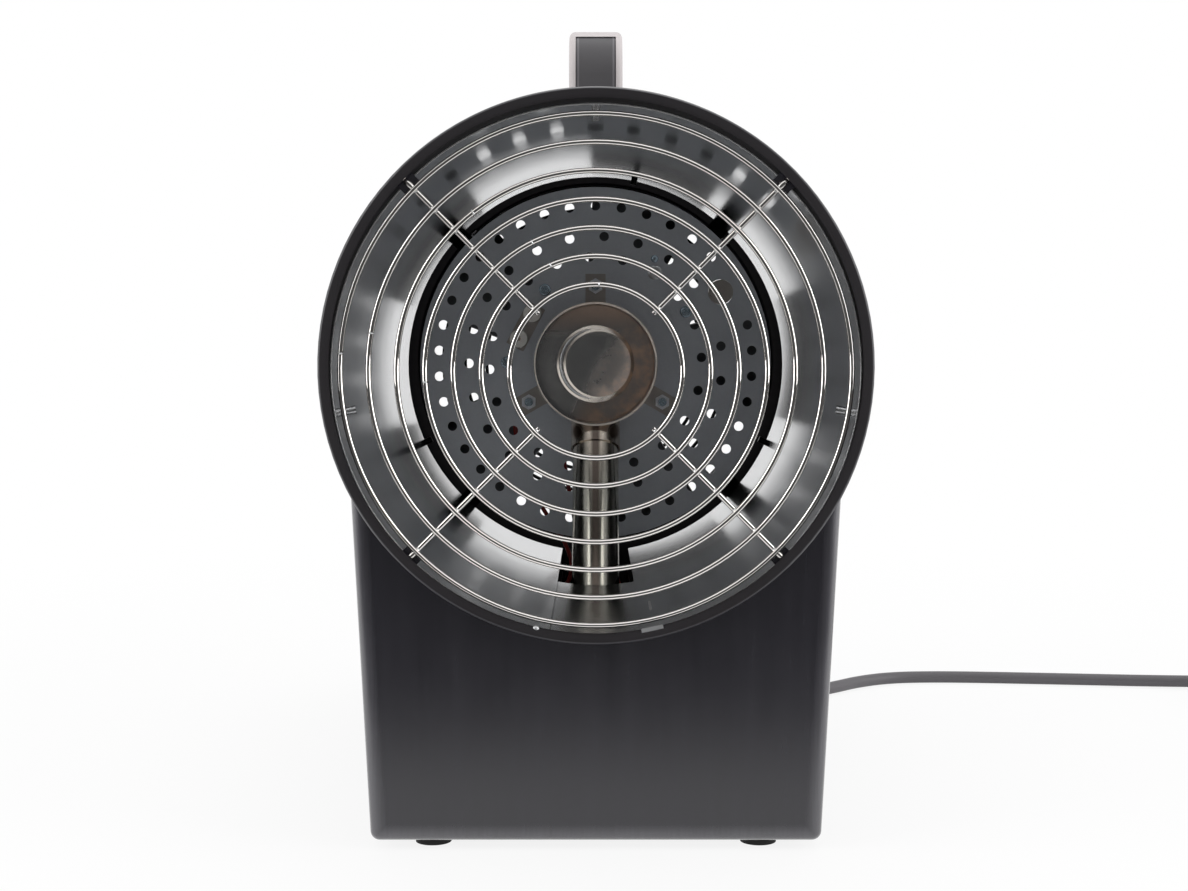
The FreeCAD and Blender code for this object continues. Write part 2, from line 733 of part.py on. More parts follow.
# Motor, carried by the hub plate of the rear grille
motor = disc(motor_diameter, 0, drum_axis_height, motor_front, motor_length)
motor = motor.fuse(disc(motor_boss_diameter, 0, drum_axis_height, motor_front - motor_boss_length,
                        motor_boss_length))
boss_front = motor_front - motor_boss_length
motor = motor.cut(disc(shaft_diameter + 2.0 * running_gap, 0, drum_axis_height, boss_front,
                       shaft_rear + seat_gap - boss_front))
grille_spoke_depth = grille_depth - grille_wire + guard_weld
grille_wires = [disc(grille_hub_diameter, 0, drum_axis_height, motor_rear, grille_hub_thickness)]
for ring in range(grille_rings):
    grille_wires.append(ring_wire(grille_inner_radius + grille_pitch * ring, grille_wire, grille_depth,
                                  drum_axis_height))
grille_cuts = []
grille_screws = []
tab_front = grille_spoke_depth + grille_wire / 2.0 - grille_tab_length
tab_ring = turned([(drum_bore - seat_gap - bracket_thickness, tab_front), (drum_bore - seat_gap, tab_front),
                   (drum_bore - seat_gap, tab_front + grille_tab_length),
                   (drum_bore - seat_gap - bracket_thickness, tab_front + grille_tab_length)])
for spoke in range(grille_spokes):
    angle = 45.0 + 360.0 / grille_spokes * spoke
    grille_wires.append(rod(grille_wire, polar(grille_hub_diameter * 0.38, angle, grille_spoke_depth),
                            polar(drum_bore - seat_gap - bracket_thickness / 2.0, angle, grille_spoke_depth)))
    tab_block = block(plate_radius, drum_radius - plate_radius, tab_front, grille_tab_length,
                      drum_axis_height - grille_tab_width / 2.0, grille_tab_width)
    grille_wires.append(placed_ring(tab_block, angle).common(tab_ring))
    seat = polar(drum_radius, angle, tab_front + small_head_diameter / 2.0)
    inward = at(0, tab_front + small_head_diameter / 2.0, drum_axis_height) - seat
    reach = drum_wall + 4.0 * bracket_thickness
    grille_cuts.append(screw_hole(seat, inward, reach))
    grille_screws.append(screw(seat, inward, reach))
drum = drum.cut(Part.makeCompound(grille_cuts))
motor_screws = []
for angle in (0.0, 90.0, 180.0, 270.0):
    seat = polar(motor_diameter * 0.36, angle, grille_hub_rear)
    hole = screw_hole(seat, -Y_AXIS, motor_length / 4.0)
    motor_screws.append(screw(seat, -Y_AXIS, motor_length / 4.0))
    grille_cuts.append(hole)
    motor = motor.cut(hole)
rear_grille = fused(grille_wires).cut(Part.makeCompound(grille_cuts))

# Base box, a folded shell with tapered sides that cradles the drum
base_top_half = math.sqrt(drum_radius ** 2 - (drum_axis_height - base_top) ** 2) - base_top_margin
side_lean = (base_top_half - base_bottom_width / 2.0) / (base_top - foot_height)


def base_half(z):
    """Half the base's outer width at a height."""
    return base_bottom_width / 2.0 + side_lean * (z - foot_height)


def base_form(inset, rear):
    """The base's outer form drawn in by an inset, with its rounded front and bottom edges."""
    low = foot_height + inset
    high = base_top + inset
    front = base_setback + inset
    corners = [at(-base_half(low) + inset, front, low), at(base_half(low) - inset, front, low),
               at(base_half(high) - inset, front, high), at(-base_half(high) + inset, front, high)]
    form = Part.Face(Part.makePolygon(corners + corners[:1])).extrude(Y_AXIS * (rear - front))
    rounds = []
    for edge in form.Edges:
        box = edge.BoundBox
        on_front = box.YMax < front_y + front + match and box.ZMin < high - match
        on_bottom = box.ZMax < low + match and box.YLength > match
        under_rear = box.YMin < front_y + rear - match
        if under_rear and (on_front or on_bottom):
            rounds.append(edge)
    return form.makeFillet(base_corner - inset, rounds)


base_inside = base_form(base_wall, base_rear + base_wall)
base_shell = base_form(0.0, base_rear).cut(base_inside).cut(drum_outside)

# Rear panel, a tray pushed into the shell's open end
panel_inset = base_wall + seat_gap
rear_panel = base_form(panel_inset, panel_rear)
rear_panel = rear_panel.cut(base_form(panel_inset + panel_thickness, panel_front))
rear_panel = rear_panel.common(block(-drum_radius, drum_diameter, panel_rear - panel_flange, panel_flange,
                                     0, drum_axis_height)).cut(drum_outside)


def side_screws(heights, depth, length):
    """Screws driven square through both sloping sides of the base, and their holes."""
    bolts = []
    holes = []
    for side in (1.0, -1.0):
        for height in heights:
            seat = at(side * base_half(height), depth, height)
            inward = Vector(-side, 0, side_lean)
            bolts.append(screw(seat, inward, length))
            holes.append(screw_hole(seat, inward, length))
    return bolts, Part.makeCompound(holes)


side_screw_length = base_wall + panel_thickness + 2.0 * small_head_height
panel_screws, panel_holes = side_screws((base_top * 0.25, base_top * 0.75), panel_rear - panel_flange / 2.0,
                                        side_screw_length)
base_shell = base_shell.cut(panel_holes)
rear_panel = rear_panel.cut(panel_holes)

# Saddles across the base, each with a curved flange under the drum
saddle_low = drum_axis_height - drum_radius - saddle_height
saddle_curve = disc(drum_diameter + 2.0 * (curved_gap + saddle_sheet), 0, drum_axis_height, 0, drum_length)
saddle_inside = base_form(panel_inset, base_rear)
saddle_rim = saddle_inside.cut(base_form(panel_inset + saddle_sheet, base_rear + saddle_sheet))
drum_saddles = []
saddle_screws = []
drum_screws = []
for depth in (base_setback + saddle_inset, base_setback + saddle_inset + saddle_spacing):
    span = block(-drum_radius, drum_diameter, depth, saddle_flange, saddle_low, drum_axis_height - saddle_low)
    web = block(-drum_radius, drum_diameter, depth, saddle_sheet, saddle_low, drum_axis_height - saddle_low)
    saddle = saddle_inside.common(web)
    saddle = saddle.fuse(saddle_curve.common(saddle_inside).common(span)).fuse(saddle_rim.common(span))
    saddle = saddle.cut(drum_outside)
    bolts, holes = side_screws((saddle_low + saddle_height,), depth + saddle_flange * 0.6, side_screw_length)
    saddle_screws.extend(bolts)
    base_shell = base_shell.cut(holes)
    saddle = saddle.cut(holes)
    for angle in (245.0, 295.0):
        seat = polar(drum_radius + curved_gap + saddle_sheet, angle, depth + saddle_flange * 0.6)
        inward = at(0, depth + saddle_flange * 0.6, drum_axis_height) - seat
        reach = saddle_sheet + curved_gap + 2.0 * drum_wall
        hole = screw_hole(seat, inward, reach)
        drum_screws.append(screw(seat, inward, reach))
        saddle = saddle.cut(hole)
        drum = drum.cut(hole)
    drum_saddles.append(max(saddle.Solids, key=lambda solid: solid.Volume))

# Rubber feet, each held by a sunk screw
rubber_feet = []
foot_screws = []
for x in (-foot_spread / 2.0, foot_spread / 2.0):
    for depth in (base_setback + foot_inset, base_rear - foot_inset):
        seat = at(x, depth, small_head_height + curved_gap)
        reach = floor_top + small_head_height - seat.z
        sink = rod(small_head_diameter + 2.0 * shank_gap, at(x, depth, 0), seat)
        hole = screw_hole(seat, Vector(0, 0, 1), reach)
        foot = rod(foot_diameter, at(x, depth, 0), at(x, depth, foot_height))
        rubber_feet.append(foot.cut(sink).cut(hole))
        foot_screws.append(screw(seat, Vector(0, 0, 1), reach))
        base_shell = base_shell.cut(hole)

# Carrying handle: a bow along the drum's top with a dark inlay on each leg


def bow_form(inset, width):
    """The bow's outer block drawn in by an inset, its two upper corners rounded."""
    length = handle_length - 2.0 * inset
    form = block(-width / 2.0, width, handle_start + inset, length, drum_axis_height,
                 handle_top - inset - drum_axis_height)
    corners = [edge for edge in form.Edges
               if edge.BoundBox.XLength > match and edge.BoundBox.ZMin > handle_top - inset - match]
    return form.makeFillet(handle_corner - inset, corners)


handle_seat = disc(drum_diameter + 2.0 * seat_gap, 0, drum_axis_height, 0, drum_length)
handle_bow = bow_form(0.0, handle_width)
bow_edges = [edge for edge in handle_bow.Edges
             if edge.BoundBox.XLength < match and edge.BoundBox.ZMax > drum_top]
handle_bow = handle_bow.makeFillet(handle_edge, bow_edges)
grip_hollow = block(-handle_width, 2.0 * handle_width, handle_start + handle_leg,
                    handle_length - 2.0 * handle_leg, drum_axis_height,
                    handle_top - handle_thickness - drum_axis_height)
hollow_corners = [edge for edge in grip_hollow.Edges if edge.BoundBox.XLength > match
                  and edge.BoundBox.ZMin > handle_top - handle_thickness - match]
grip_hollow = grip_hollow.makeFillet(handle_inner_corner, hollow_corners)
handle_bow = handle_bow.cut(grip_hollow)
inlay_band = bow_form(0.0, inlay_width).cut(bow_form(inlay_depth, 2.0 * inlay_width))
inlay_span = block(-inlay_width, 2.0 * inlay_width, handle_start, handle_length, drum_axis_height,
                   handle_top - inlay_top_margin - drum_axis_height)
inlay_pocket = inlay_band.common(inlay_span)
handle_bow = handle_bow.cut(inlay_pocket).cut(handle_seat)
inlay_fill = bow_form(inlay_sink, inlay_width - 2.0 * seat_gap)
inlay_fill = inlay_fill.cut(bow_form(inlay_depth - seat_gap, 2.0 * inlay_width))
inlay_room = block(-inlay_width, 2.0 * inlay_width, handle_start, handle_length, drum_axis_height,
                   handle_top - inlay_top_margin - seat_gap - drum_axis_height)
handle_inlays = [solid for solid in inlay_fill.common(inlay_room).cut(handle_seat).Solids]
handle_screws = []
for x in (-inlay_width / 3.0, inlay_width / 3.0):
    for depth in (handle_start + handle_leg / 2.0 + inlay_depth / 2.0,
                  handle_start + handle_length - handle_leg / 2.0 - inlay_depth / 2.0):
        head_edge = abs(x) + small_head_radius
        height = drum_axis_height + math.sqrt((drum_bore - seat_gap) ** 2 - head_edge ** 2)
        seat = at(x, depth, height)
        reach = drum_top + handle_leg - height
        hole = screw_hole(seat, Vector(0, 0, 1), reach)
        handle_screws.append(screw(seat, Vector(0, 0, 1), reach))
        drum = drum.cut(hole)
        handle_bow = handle_bow.cut(hole)

# Injector and its holder at the foot of the mixing tube
holder_top = tube_end - tube_way * holder_lap
holder_end = tube_end + tube_way * holder_reach
tube_fit = tube_diameter + 2.0 * seat_gap
holder_foot_depth = tube_end.y - front_y + seat_gap
injector_holder = rod(tube_fit + 2.0 * holder_wall, holder_top, holder_end)
injector_holder = injector_holder.fuse(block(-holder_foot_width / 2.0, holder_foot_width, holder_foot_depth,
                                             holder_wall, floor_top, tube_end.z - floor_top))
injector_holder = injector_holder.fuse(block(-holder_foot_width / 2.0, holder_foot_width, holder_foot_depth,
                                             holder_foot_width, floor_top, base_wall))
injector_holder = injector_holder.cut(rod(tube_fit, tube_start, holder_end - tube_way * holder_wall))
window = tube_end + tube_way * (holder_reach - holder_wall) / 2.0
injector_holder = injector_holder.cut(rod(air_window, window - Vector(tube_diameter, 0, 0),
                                          window + Vector(tube_diameter, 0, 0)))
injector_holder = injector_holder.cut(rod(injector_diameter + 2.0 * seat_gap, tube_end,
                                          holder_end + tube_way * holder_wall))
injector_end = holder_end + tube_way * injector_tail
injector = rod(injector_diameter, holder_end - tube_way * injector_tip, holder_end)
injector = injector.fuse(hexagon(injector_hex, holder_end, injector_end))

# Gas valve behind the rear panel
gas_valve = block(valve_left, valve_width, valve_front, valve_depth, valve_bottom, valve_height)
outlet_x = (inlet_x + knob_x) / 2.0
outlet_z = valve_bottom + valve_height * 0.4
gas_valve = gas_valve.fuse(disc(outlet_boss_diameter, outlet_x, outlet_z, valve_front - outlet_boss_length,
                                outlet_boss_length))
inlet_in = valve_rear - inlet_body_diameter / 2.0
inlet_shoulder = panel_rear + inlet_nut_height
inlet_fit = inlet_body_diameter + 2.0 * seat_gap
gas_valve = gas_valve.cut(disc(inlet_fit, inlet_x, inlet_z, inlet_in, valve_depth))
panel_cuts = [disc(inlet_fit, inlet_x, inlet_z, panel_front, panel_thickness)]
gas_inlet = disc(inlet_body_diameter, inlet_x, inlet_z, inlet_in, inlet_shoulder - inlet_in)
gas_inlet = gas_inlet.fuse(disc(inlet_diameter, inlet_x, inlet_z, inlet_shoulder, inlet_thread))
gas_inlet = gas_inlet.cut(disc(gas_pipe_diameter, inlet_x, inlet_z, inlet_in, valve_depth))
inlet_nut = hexagon(inlet_hex, at(inlet_x, panel_rear, inlet_z), at(inlet_x, inlet_shoulder, inlet_z))
inlet_nut = inlet_nut.cut(disc(inlet_fit, inlet_x, inlet_z, panel_rear, inlet_nut_height))

# Safety button: its stem slides in the valve
stem_in = valve_rear - 2.0 * button_stem_diameter
cap_in = panel_rear + button_travel + push_gap
safety_button = disc(button_stem_diameter, button_x, button_z, stem_in, cap_in - stem_in)
safety_cap = disc(button_diameter, button_x, button_z, cap_in, button_proud - button_travel)
cap_out = front_y + cap_in + button_proud - button_travel
cap_edge = [edge for edge in safety_cap.Edges if edge.BoundBox.YMin > cap_out - match]
safety_button = safety_button.fuse(safety_cap.makeFillet(button_travel / 4.0, cap_edge))
gas_valve = gas_valve.cut(disc(button_stem_diameter + 2.0 * running_gap, button_x, button_z,
                               stem_in - button_travel - push_gap, valve_depth))
panel_cuts.append(disc(button_stem_diameter + 2.0 * push_gap, button_x, button_z, panel_front,
                       panel_thickness))

# Control knob on the valve's spindle
knob_front = panel_rear + knob_air
spindle_in = valve_rear - spindle_depth
spindle_out = knob_front + knob_height * 0.6
valve_spindle = disc(spindle_diameter, knob_x, knob_z, spindle_in, spindle_out - spindle_in)
control_knob = disc(knob_diameter, knob_x, knob_z, knob_front, knob_height * 0.4)
grip_bar = block(knob_x - knob_diameter * 0.16, knob_diameter * 0.32, knob_front, knob_height,
                 knob_z - knob_diameter / 2.0, knob_diameter)
grip_bar = grip_bar.common(disc(knob_diameter, knob_x, knob_z, knob_front, knob_height))
control_knob = control_knob.fuse(grip_bar)
control_knob = control_knob.cut(disc(spindle_diameter + 2.0 * running_gap, knob_x, knob_z, knob_front,
                                     spindle_out + seat_gap - knob_front))
gas_valve = gas_valve.cut(disc(spindle_diameter + 2.0 * running_gap, knob_x, knob_z, spindle_in - seat_gap,
                               valve_depth))
panel_cuts.append(disc(spindle_diameter + 2.0 * push_gap, knob_x, knob_z, panel_front, panel_thickness))

# Gas pipe from the valve's outlet to the injector
outlet_depth = valve_front - outlet_boss_length
pipe_low = floor_top + 2.0 * gas_pipe_diameter
pipe_drop = injector_end + tube_way * (injector_end.z - pipe_low)
pipe_turn = at(outlet_x * 0.6, pipe_drop.y - front_y + gas_pipe_diameter / 2.0, pipe_low)
pipe_rise = at(outlet_x * 0.92, outlet_depth - 7.0 * gas_pipe_diameter, pipe_low + gas_pipe_diameter)
pipe_arrival = at(outlet_x, outlet_depth - 3.0 * gas_pipe_diameter, outlet_z)
pipe_end = at(outlet_x, outlet_depth, outlet_z)
gas_pipe = bent_bar(gas_pipe_diameter, [injector_end, pipe_drop, pipe_turn, pipe_rise, pipe_arrival, pipe_end],
                    "gas pipe")

# Piezo igniter and its button
piezo_body = disc(piezo_diameter, piezo_x, piezo_z, panel_rear - piezo_length, piezo_length)
piezo_body = piezo_body.fuse(disc(piezo_flange_diameter, piezo_x, piezo_z, panel_rear, piezo_flange))
piezo_well = panel_rear + piezo_flange - piezo_button_depth - piezo_travel - push_gap
piezo_body = piezo_body.cut(disc(piezo_button_diameter + 2.0 * push_gap, piezo_x, piezo_z, piezo_well,
                                 piezo_length))
piezo_button = disc(piezo_button_diameter, piezo_x, piezo_z, panel_rear + piezo_flange - piezo_button_depth,
                    piezo_button_depth + piezo_button_proud)
button_out = front_y + panel_rear + piezo_flange + piezo_button_proud
piezo_edge = [edge for edge in piezo_button.Edges if edge.BoundBox.YMin > button_out - match]
piezo_button = piezo_button.makeFillet(piezo_travel / 4.0, piezo_edge)
piezo_fit = piezo_diameter + 2.0 * seat_gap
nut_front = panel_front - piezo_nut_height
piezo_nut = hexagon(piezo_nut_width, at(piezo_x, nut_front, piezo_z), at(piezo_x, panel_front, piezo_z))
piezo_nut = piezo_nut.cut(disc(piezo_fit, piezo_x, piezo_z, nut_front, piezo_nut_height))
panel_cuts.append(disc(piezo_fit, piezo_x, piezo_z, panel_front, panel_thickness))

# Power switch with a tipping rocker on two pins
switch_out = panel_rear + switch_bezel
well_width = switch_width - 2.0 * switch_frame
well_height = switch_height - 2.0 * switch_frame
pivot_depth = switch_out - rocker_depth * 0.4
rocker_sine = math.sin(math.radians(rocker_tilt))
rocker_half = well_height / 2.0 - rocker_play - rocker_depth / 2.0 * rocker_sine
well_floor = pivot_depth - rocker_depth / 2.0 - rocker_half * rocker_sine - rocker_play
body_width = switch_width - switch_frame
body_height = switch_height - switch_frame
power_switch = block(switch_x - switch_width / 2.0, switch_width, panel_rear, switch_bezel,
                     switch_z - switch_height / 2.0, switch_height)
power_switch = power_switch.fuse(block(switch_x - body_width / 2.0, body_width, panel_rear - switch_depth,
                                       switch_depth, switch_z - body_height / 2.0, body_height))
power_switch = power_switch.cut(block(switch_x - well_width / 2.0, well_width, well_floor, switch_depth,
                                      switch_z - well_height / 2.0, well_height))
pin_reach = well_width / 2.0 + switch_frame / 4.0
power_switch = power_switch.cut(rod(rocker_pin_diameter + 2.0 * running_gap,
                                    at(switch_x - pin_reach - seat_gap, pivot_depth, switch_z),
                                    at(switch_x + pin_reach + seat_gap, pivot_depth, switch_z)))
hole_width = body_width + 2.0 * seat_gap
hole_height = body_height + 2.0 * seat_gap
panel_cuts.append(block(switch_x - hole_width / 2.0, hole_width, panel_front, panel_thickness,
                        switch_z - hole_height / 2.0, hole_height))
rocker_left = switch_x - well_width / 2.0 + rocker_side_play
rocker_out = rocker_depth / 2.0
rocker_outline = [(-rocker_out, -rocker_half), (rocker_out, -rocker_half), (rocker_depth * 0.3, 0.0),
                  (rocker_out, rocker_half), (-rocker_out, rocker_half)]
rocker_corners = [at(rocker_left, pivot_depth + out, switch_z + up) for out, up in rocker_outline]
switch_rocker = Part.Face(Part.makePolygon(rocker_corners + rocker_corners[:1]))
switch_rocker = switch_rocker.extrude(Vector(well_width - 2.0 * rocker_side_play, 0, 0))
switch_rocker = switch_rocker.fuse(rod(rocker_pin_diameter, at(switch_x - pin_reach, pivot_depth, switch_z),
                                       at(switch_x + pin_reach, pivot_depth, switch_z)))
switch_rocker.rotate(at(switch_x, pivot_depth, switch_z), Vector(1, 0, 0), rocker_tilt)

# Terminal block on the base's floor
terminal_front = base_rear - terminal_setback
terminal_block = block(terminal_x, terminal_width, terminal_front, terminal_depth, floor_top, terminal_height)

# Cable gland with its tapered sleeve
gland_end = panel_rear + gland_length
gland_in = panel_front - panel_thickness
gland_radius = gland_diameter / 2.0
gland_seat_radius = gland_seat_diameter / 2.0
cable_gland = turned([(0, gland_in), (gland_radius, gland_in), (gland_radius, panel_front),
                      (gland_seat_radius, panel_front), (gland_seat_radius, panel_rear),
                      (gland_radius, panel_rear), (gland_radius, panel_rear + gland_length * 0.25),
                      (gland_neck_diameter / 2.0, gland_end), (0, gland_end)], gland_x, gland_z)
panel_cuts.append(disc(gland_seat_diameter + 2.0 * seat_gap, gland_x, gland_z, panel_front, panel_thickness))
rear_panel = rear_panel.cut(Part.makeCompound(panel_cuts))

# Inner leads: down behind the flame plate, forwards through the slots and into the base
upper_sensor, lower_sensor = sensor_places
sensor_back = bracket_rear + 2.0 * wire_diameter
bottom_run = drum_axis_height - drum_bore + 1.3 * wire_diameter
lead_drop = flange_rear + wire_radius
slot_drop = drum_slot_front + drum_slot_length - 4.0 * wire_diameter
insulator_side = insulator_diameter / 2.0
ignition_lead = bent_bar(wire_diameter, [
    at(upper_sensor[0] + insulator_side, sensor_back, upper_sensor[1]),
    at(upper_sensor[0] + 2.6 * insulator_side, sensor_back, upper_sensor[1] - insulator_side),
    at(-24, sensor_back, drum_axis_height - 6), at(-20, sensor_back, drum_axis_height - 56),
    at(-12, sensor_back, drum_axis_height - 99),
    at(-8, lead_drop, bottom_run), at(-6, slot_drop - 11, 89), at(piezo_x, slot_drop - 14, 76),
    at(piezo_x, slot_drop - 16, piezo_z + piezo_diameter / 2.0)], "ignition lead")
thermocouple_lead = bent_bar(wire_diameter, [
    at(lower_sensor[0], sensor_back, lower_sensor[1] - insulator_side),
    at(lower_sensor[0] - 1, sensor_back, drum_axis_height - 7), at(-50, sensor_back, drum_axis_height - 46),
    at(-34, sensor_back, drum_axis_height - 86), at(-20, sensor_back, drum_axis_height - 106),
    at(-14, lead_drop, bottom_run),
    at(-17, slot_drop - 12, 88), at(-50, slot_drop - 14, 92),
    at(outlet_x, slot_drop - 14, valve_bottom + valve_height)], "thermocouple lead")
motor_lead = bent_bar(wire_diameter, [
    at(0, motor_front + motor_length / 2.0, drum_axis_height - motor_diameter / 2.0),
    at(2, motor_rear - motor_length / 2.0, drum_axis_height - 56),
    at(6, motor_rear - motor_length / 2.0, drum_axis_height - 83),
    at(10, motor_front + 9, drum_axis_height - 109), at(12, motor_front - 12, bottom_run),
    at(12.5, chamber_rear, bottom_run + 0.2), at(12, slot_drop + 7, bottom_run), at(14, slot_drop - 11, 88),
    at(34, slot_drop - 14, 70), at(68, slot_drop - 34, 46),
    at(terminal_x + terminal_width / 2.0, terminal_front + terminal_depth / 2.0, floor_top + terminal_height)],
    "motor lead")

# Put-away coil of the mains lead: two piled layers, wound in and out again
coil_low = lead_radius + tie_thickness + tie_slack + seat_gap / 2.0
coil_high = coil_low + coil_layer_rise
plug_height = plug_diameter / 2.0 + seat_gap / 2.0
coil_turns = coil_inward_turns + coil_climb_turns + coil_outward_turns


def eased(share):
    """A smooth step from nought to one."""
    held = min(max(share, 0.0), 1.0)
    return held * held * (3.0 - 2.0 * held)


def coil_radius(turns):
    """Distance of the lead from the coil's centre after some turns; the climb's middle turns it back."""
    reversal = coil_inward_turns + coil_climb_turns / 2.0
    return coil_outer_radius - coil_pitch * (reversal - abs(turns - reversal))


def coil_point(turns):
    """Middle of the lead after some turns, wound clockwise seen from above."""
    angle = math.radians(coil_start_angle - 360.0 * turns)
    climb = eased((turns - coil_inward_turns) / coil_climb_turns)
    lift = eased((turns - coil_turns + coil_rise_turns) / coil_rise_turns)
    height = coil_low + coil_layer_rise * climb + (plug_height - coil_high) * lift
    return at(coil_centre_x + coil_radius(turns) * math.cos(angle),
              coil_centre_depth + coil_radius(turns) * math.sin(angle), height)


def coil_way(turns):
    """Direction of the lead after some turns; square to the radius at both ends."""
    if turns <= 0.0 or turns >= coil_turns:
        angle = math.radians(coil_start_angle - 360.0 * turns)
        return Vector(math.sin(angle), -math.cos(angle), 0)
    return (coil_point(turns + match) - coil_point(turns - match)).normalize()


def arc_between(start, corner, end):
    """The round arc that touches both sides of an evenly cut corner."""
    weight = math.cos((corner - start).getAngle(end - corner) / 2.0)
    middle = (start + end + corner * (2.0 * weight)) * (1.0 / (2.0 + 2.0 * weight))
    return Part.Arc(start, middle, end).toShape()


def biarc(start, way_in, end, way_out):
    """Two arcs that leave and arrive in given directions."""
    span = end - start
    both = way_in + way_out
    square = 2.0 - 2.0 * way_in.dot(way_out)
    along = span.dot(both)
    reach = (-along + math.sqrt(along ** 2 + square * span.dot(span))) / square
    first = start + way_in * reach
    second = end - way_out * reach
    joint = (first + second) * 0.5
    return [arc_between(start, first, joint), arc_between(joint, second, end)]


coil_entry = coil_point(0.0) - coil_way(0.0) * coil_lead_in
coil_leave = coil_point(coil_turns) + coil_way(coil_turns) * (2.0 * coil_lead_in)
coil_edges = [Part.LineSegment(coil_entry, coil_point(0.0)).toShape()]
quarters = int(round(4.0 * coil_turns))
for quarter in range(quarters):
    begin = coil_turns * quarter / quarters
    finish = coil_turns * (quarter + 1) / quarters
    coil_edges.extend(biarc(coil_point(begin), coil_way(begin), coil_point(finish), coil_way(finish)))
coil_edges.append(Part.LineSegment(coil_point(coil_turns), coil_leave).toShape())
coil_path = Part.Wire(coil_edges)
coil_section = Part.Wire(Part.makeCircle(lead_radius, coil_entry, coil_way(0.0)))
mains_lead_coil = coil_path.makePipeShell([coil_section], True, False)
coil_points = coil_path.discretize(Distance=2.0)
far_apart = int(2.0 * lead_diameter)
coil_gap = min((coil_points[one] - coil_points[two]).Length
               for one in range(len(coil_points)) for two in range(one + far_apart, len(coil_points)))
coil_share = mains_lead_coil.Volume / (math.pi * lead_radius ** 2 * coil_path.Length)
print("coil length", round(coil_path.Length, 1), "least gap", round(coil_gap - lead_diameter, 2),
      "volume share", round(coil_share, 4))

# Mains lead from the gland along the floor to the coil
floor_height = lead_radius + seat_gap
coil_before = coil_entry - coil_way(0.0) * (4.75 * lead_diameter)
mains_lead = bent_bar(lead_diameter, [
    at(gland_x, gland_end, gland_z), at(81, 331, 16.5), at(91, 351, 9.5), at(114, 366, 4.5),
    at(141, 374.5, floor_height), at(162, 392, floor_height), at(182, 413, floor_height),
    at(208, 428, floor_height), at(243, 430.5, floor_height), at(288, 426.5, floor_height),
    at(336, 421, floor_height), at(384, 413.8, 4.4), coil_before, coil_entry], "mains lead")

# Tie round the coil
tie_turn = ((coil_start_angle - tie_angle) % 360.0) / 360.0
tie_radii = [coil_radius(tie_turn + step) for step in range(int(coil_turns))]
tie_near = min(tie_radii) - lead_radius - 2.0 * tie_slack
tie_far = max(tie_radii) + lead_radius + 2.0 * tie_slack
tie_bottom = coil_low - lead_radius - tie_slack
tie_top = coil_high + lead_radius + tie_slack
tie_hole = block(coil_centre_x + tie_near, tie_far - tie_near, coil_centre_depth - tie_width, 2.0 * tie_width,
                 tie_bottom, tie_top - tie_bottom)
lead_tie = block(coil_centre_x + tie_near - tie_thickness, tie_far - tie_near + 2.0 * tie_thickness,
                 coil_centre_depth - tie_width / 2.0, tie_width,
                 tie_bottom - tie_thickness, tie_top - tie_bottom + 2.0 * tie_thickness)
lead_tie = lead_tie.cut(tie_hole)
lead_tie.rotate(at(coil_centre_x, coil_centre_depth, 0), Vector(0, 0, 1), tie_angle)

# Mains plug at the far end, lying on the floor
plug_way = coil_way(coil_turns)
plug_side = Vector(-plug_way.y, plug_way.x, 0)
plug_radius = plug_diameter / 2.0
plug_shoulder = plug_sleeve + plug_body
plug_end = plug_shoulder + plug_nose
plug_profile = [(0, 0), (lead_radius + tie_thickness, 0), (plug_sleeve_diameter / 2.0, plug_sleeve),
                (plug_radius, plug_sleeve + plug_nose), (plug_radius, plug_shoulder),
                (plug_face_diameter / 2.0, plug_end), (0, plug_end)]
plug_corners = [coil_leave + plug_side * radius + plug_way * along for radius, along in plug_profile]
mains_plug = Part.Face(Part.makePolygon(plug_corners + plug_corners[:1])).revolve(coil_leave, plug_way, 360)
plug_face = coil_leave + plug_way * plug_end
plug_pins = []
for side in (-0.5, 0.5):
    foot = plug_face + plug_side * (side * plug_pin_spread)
    plug_pins.append(rod(plug_pin_diameter, foot, foot + plug_way * plug_pin_length))

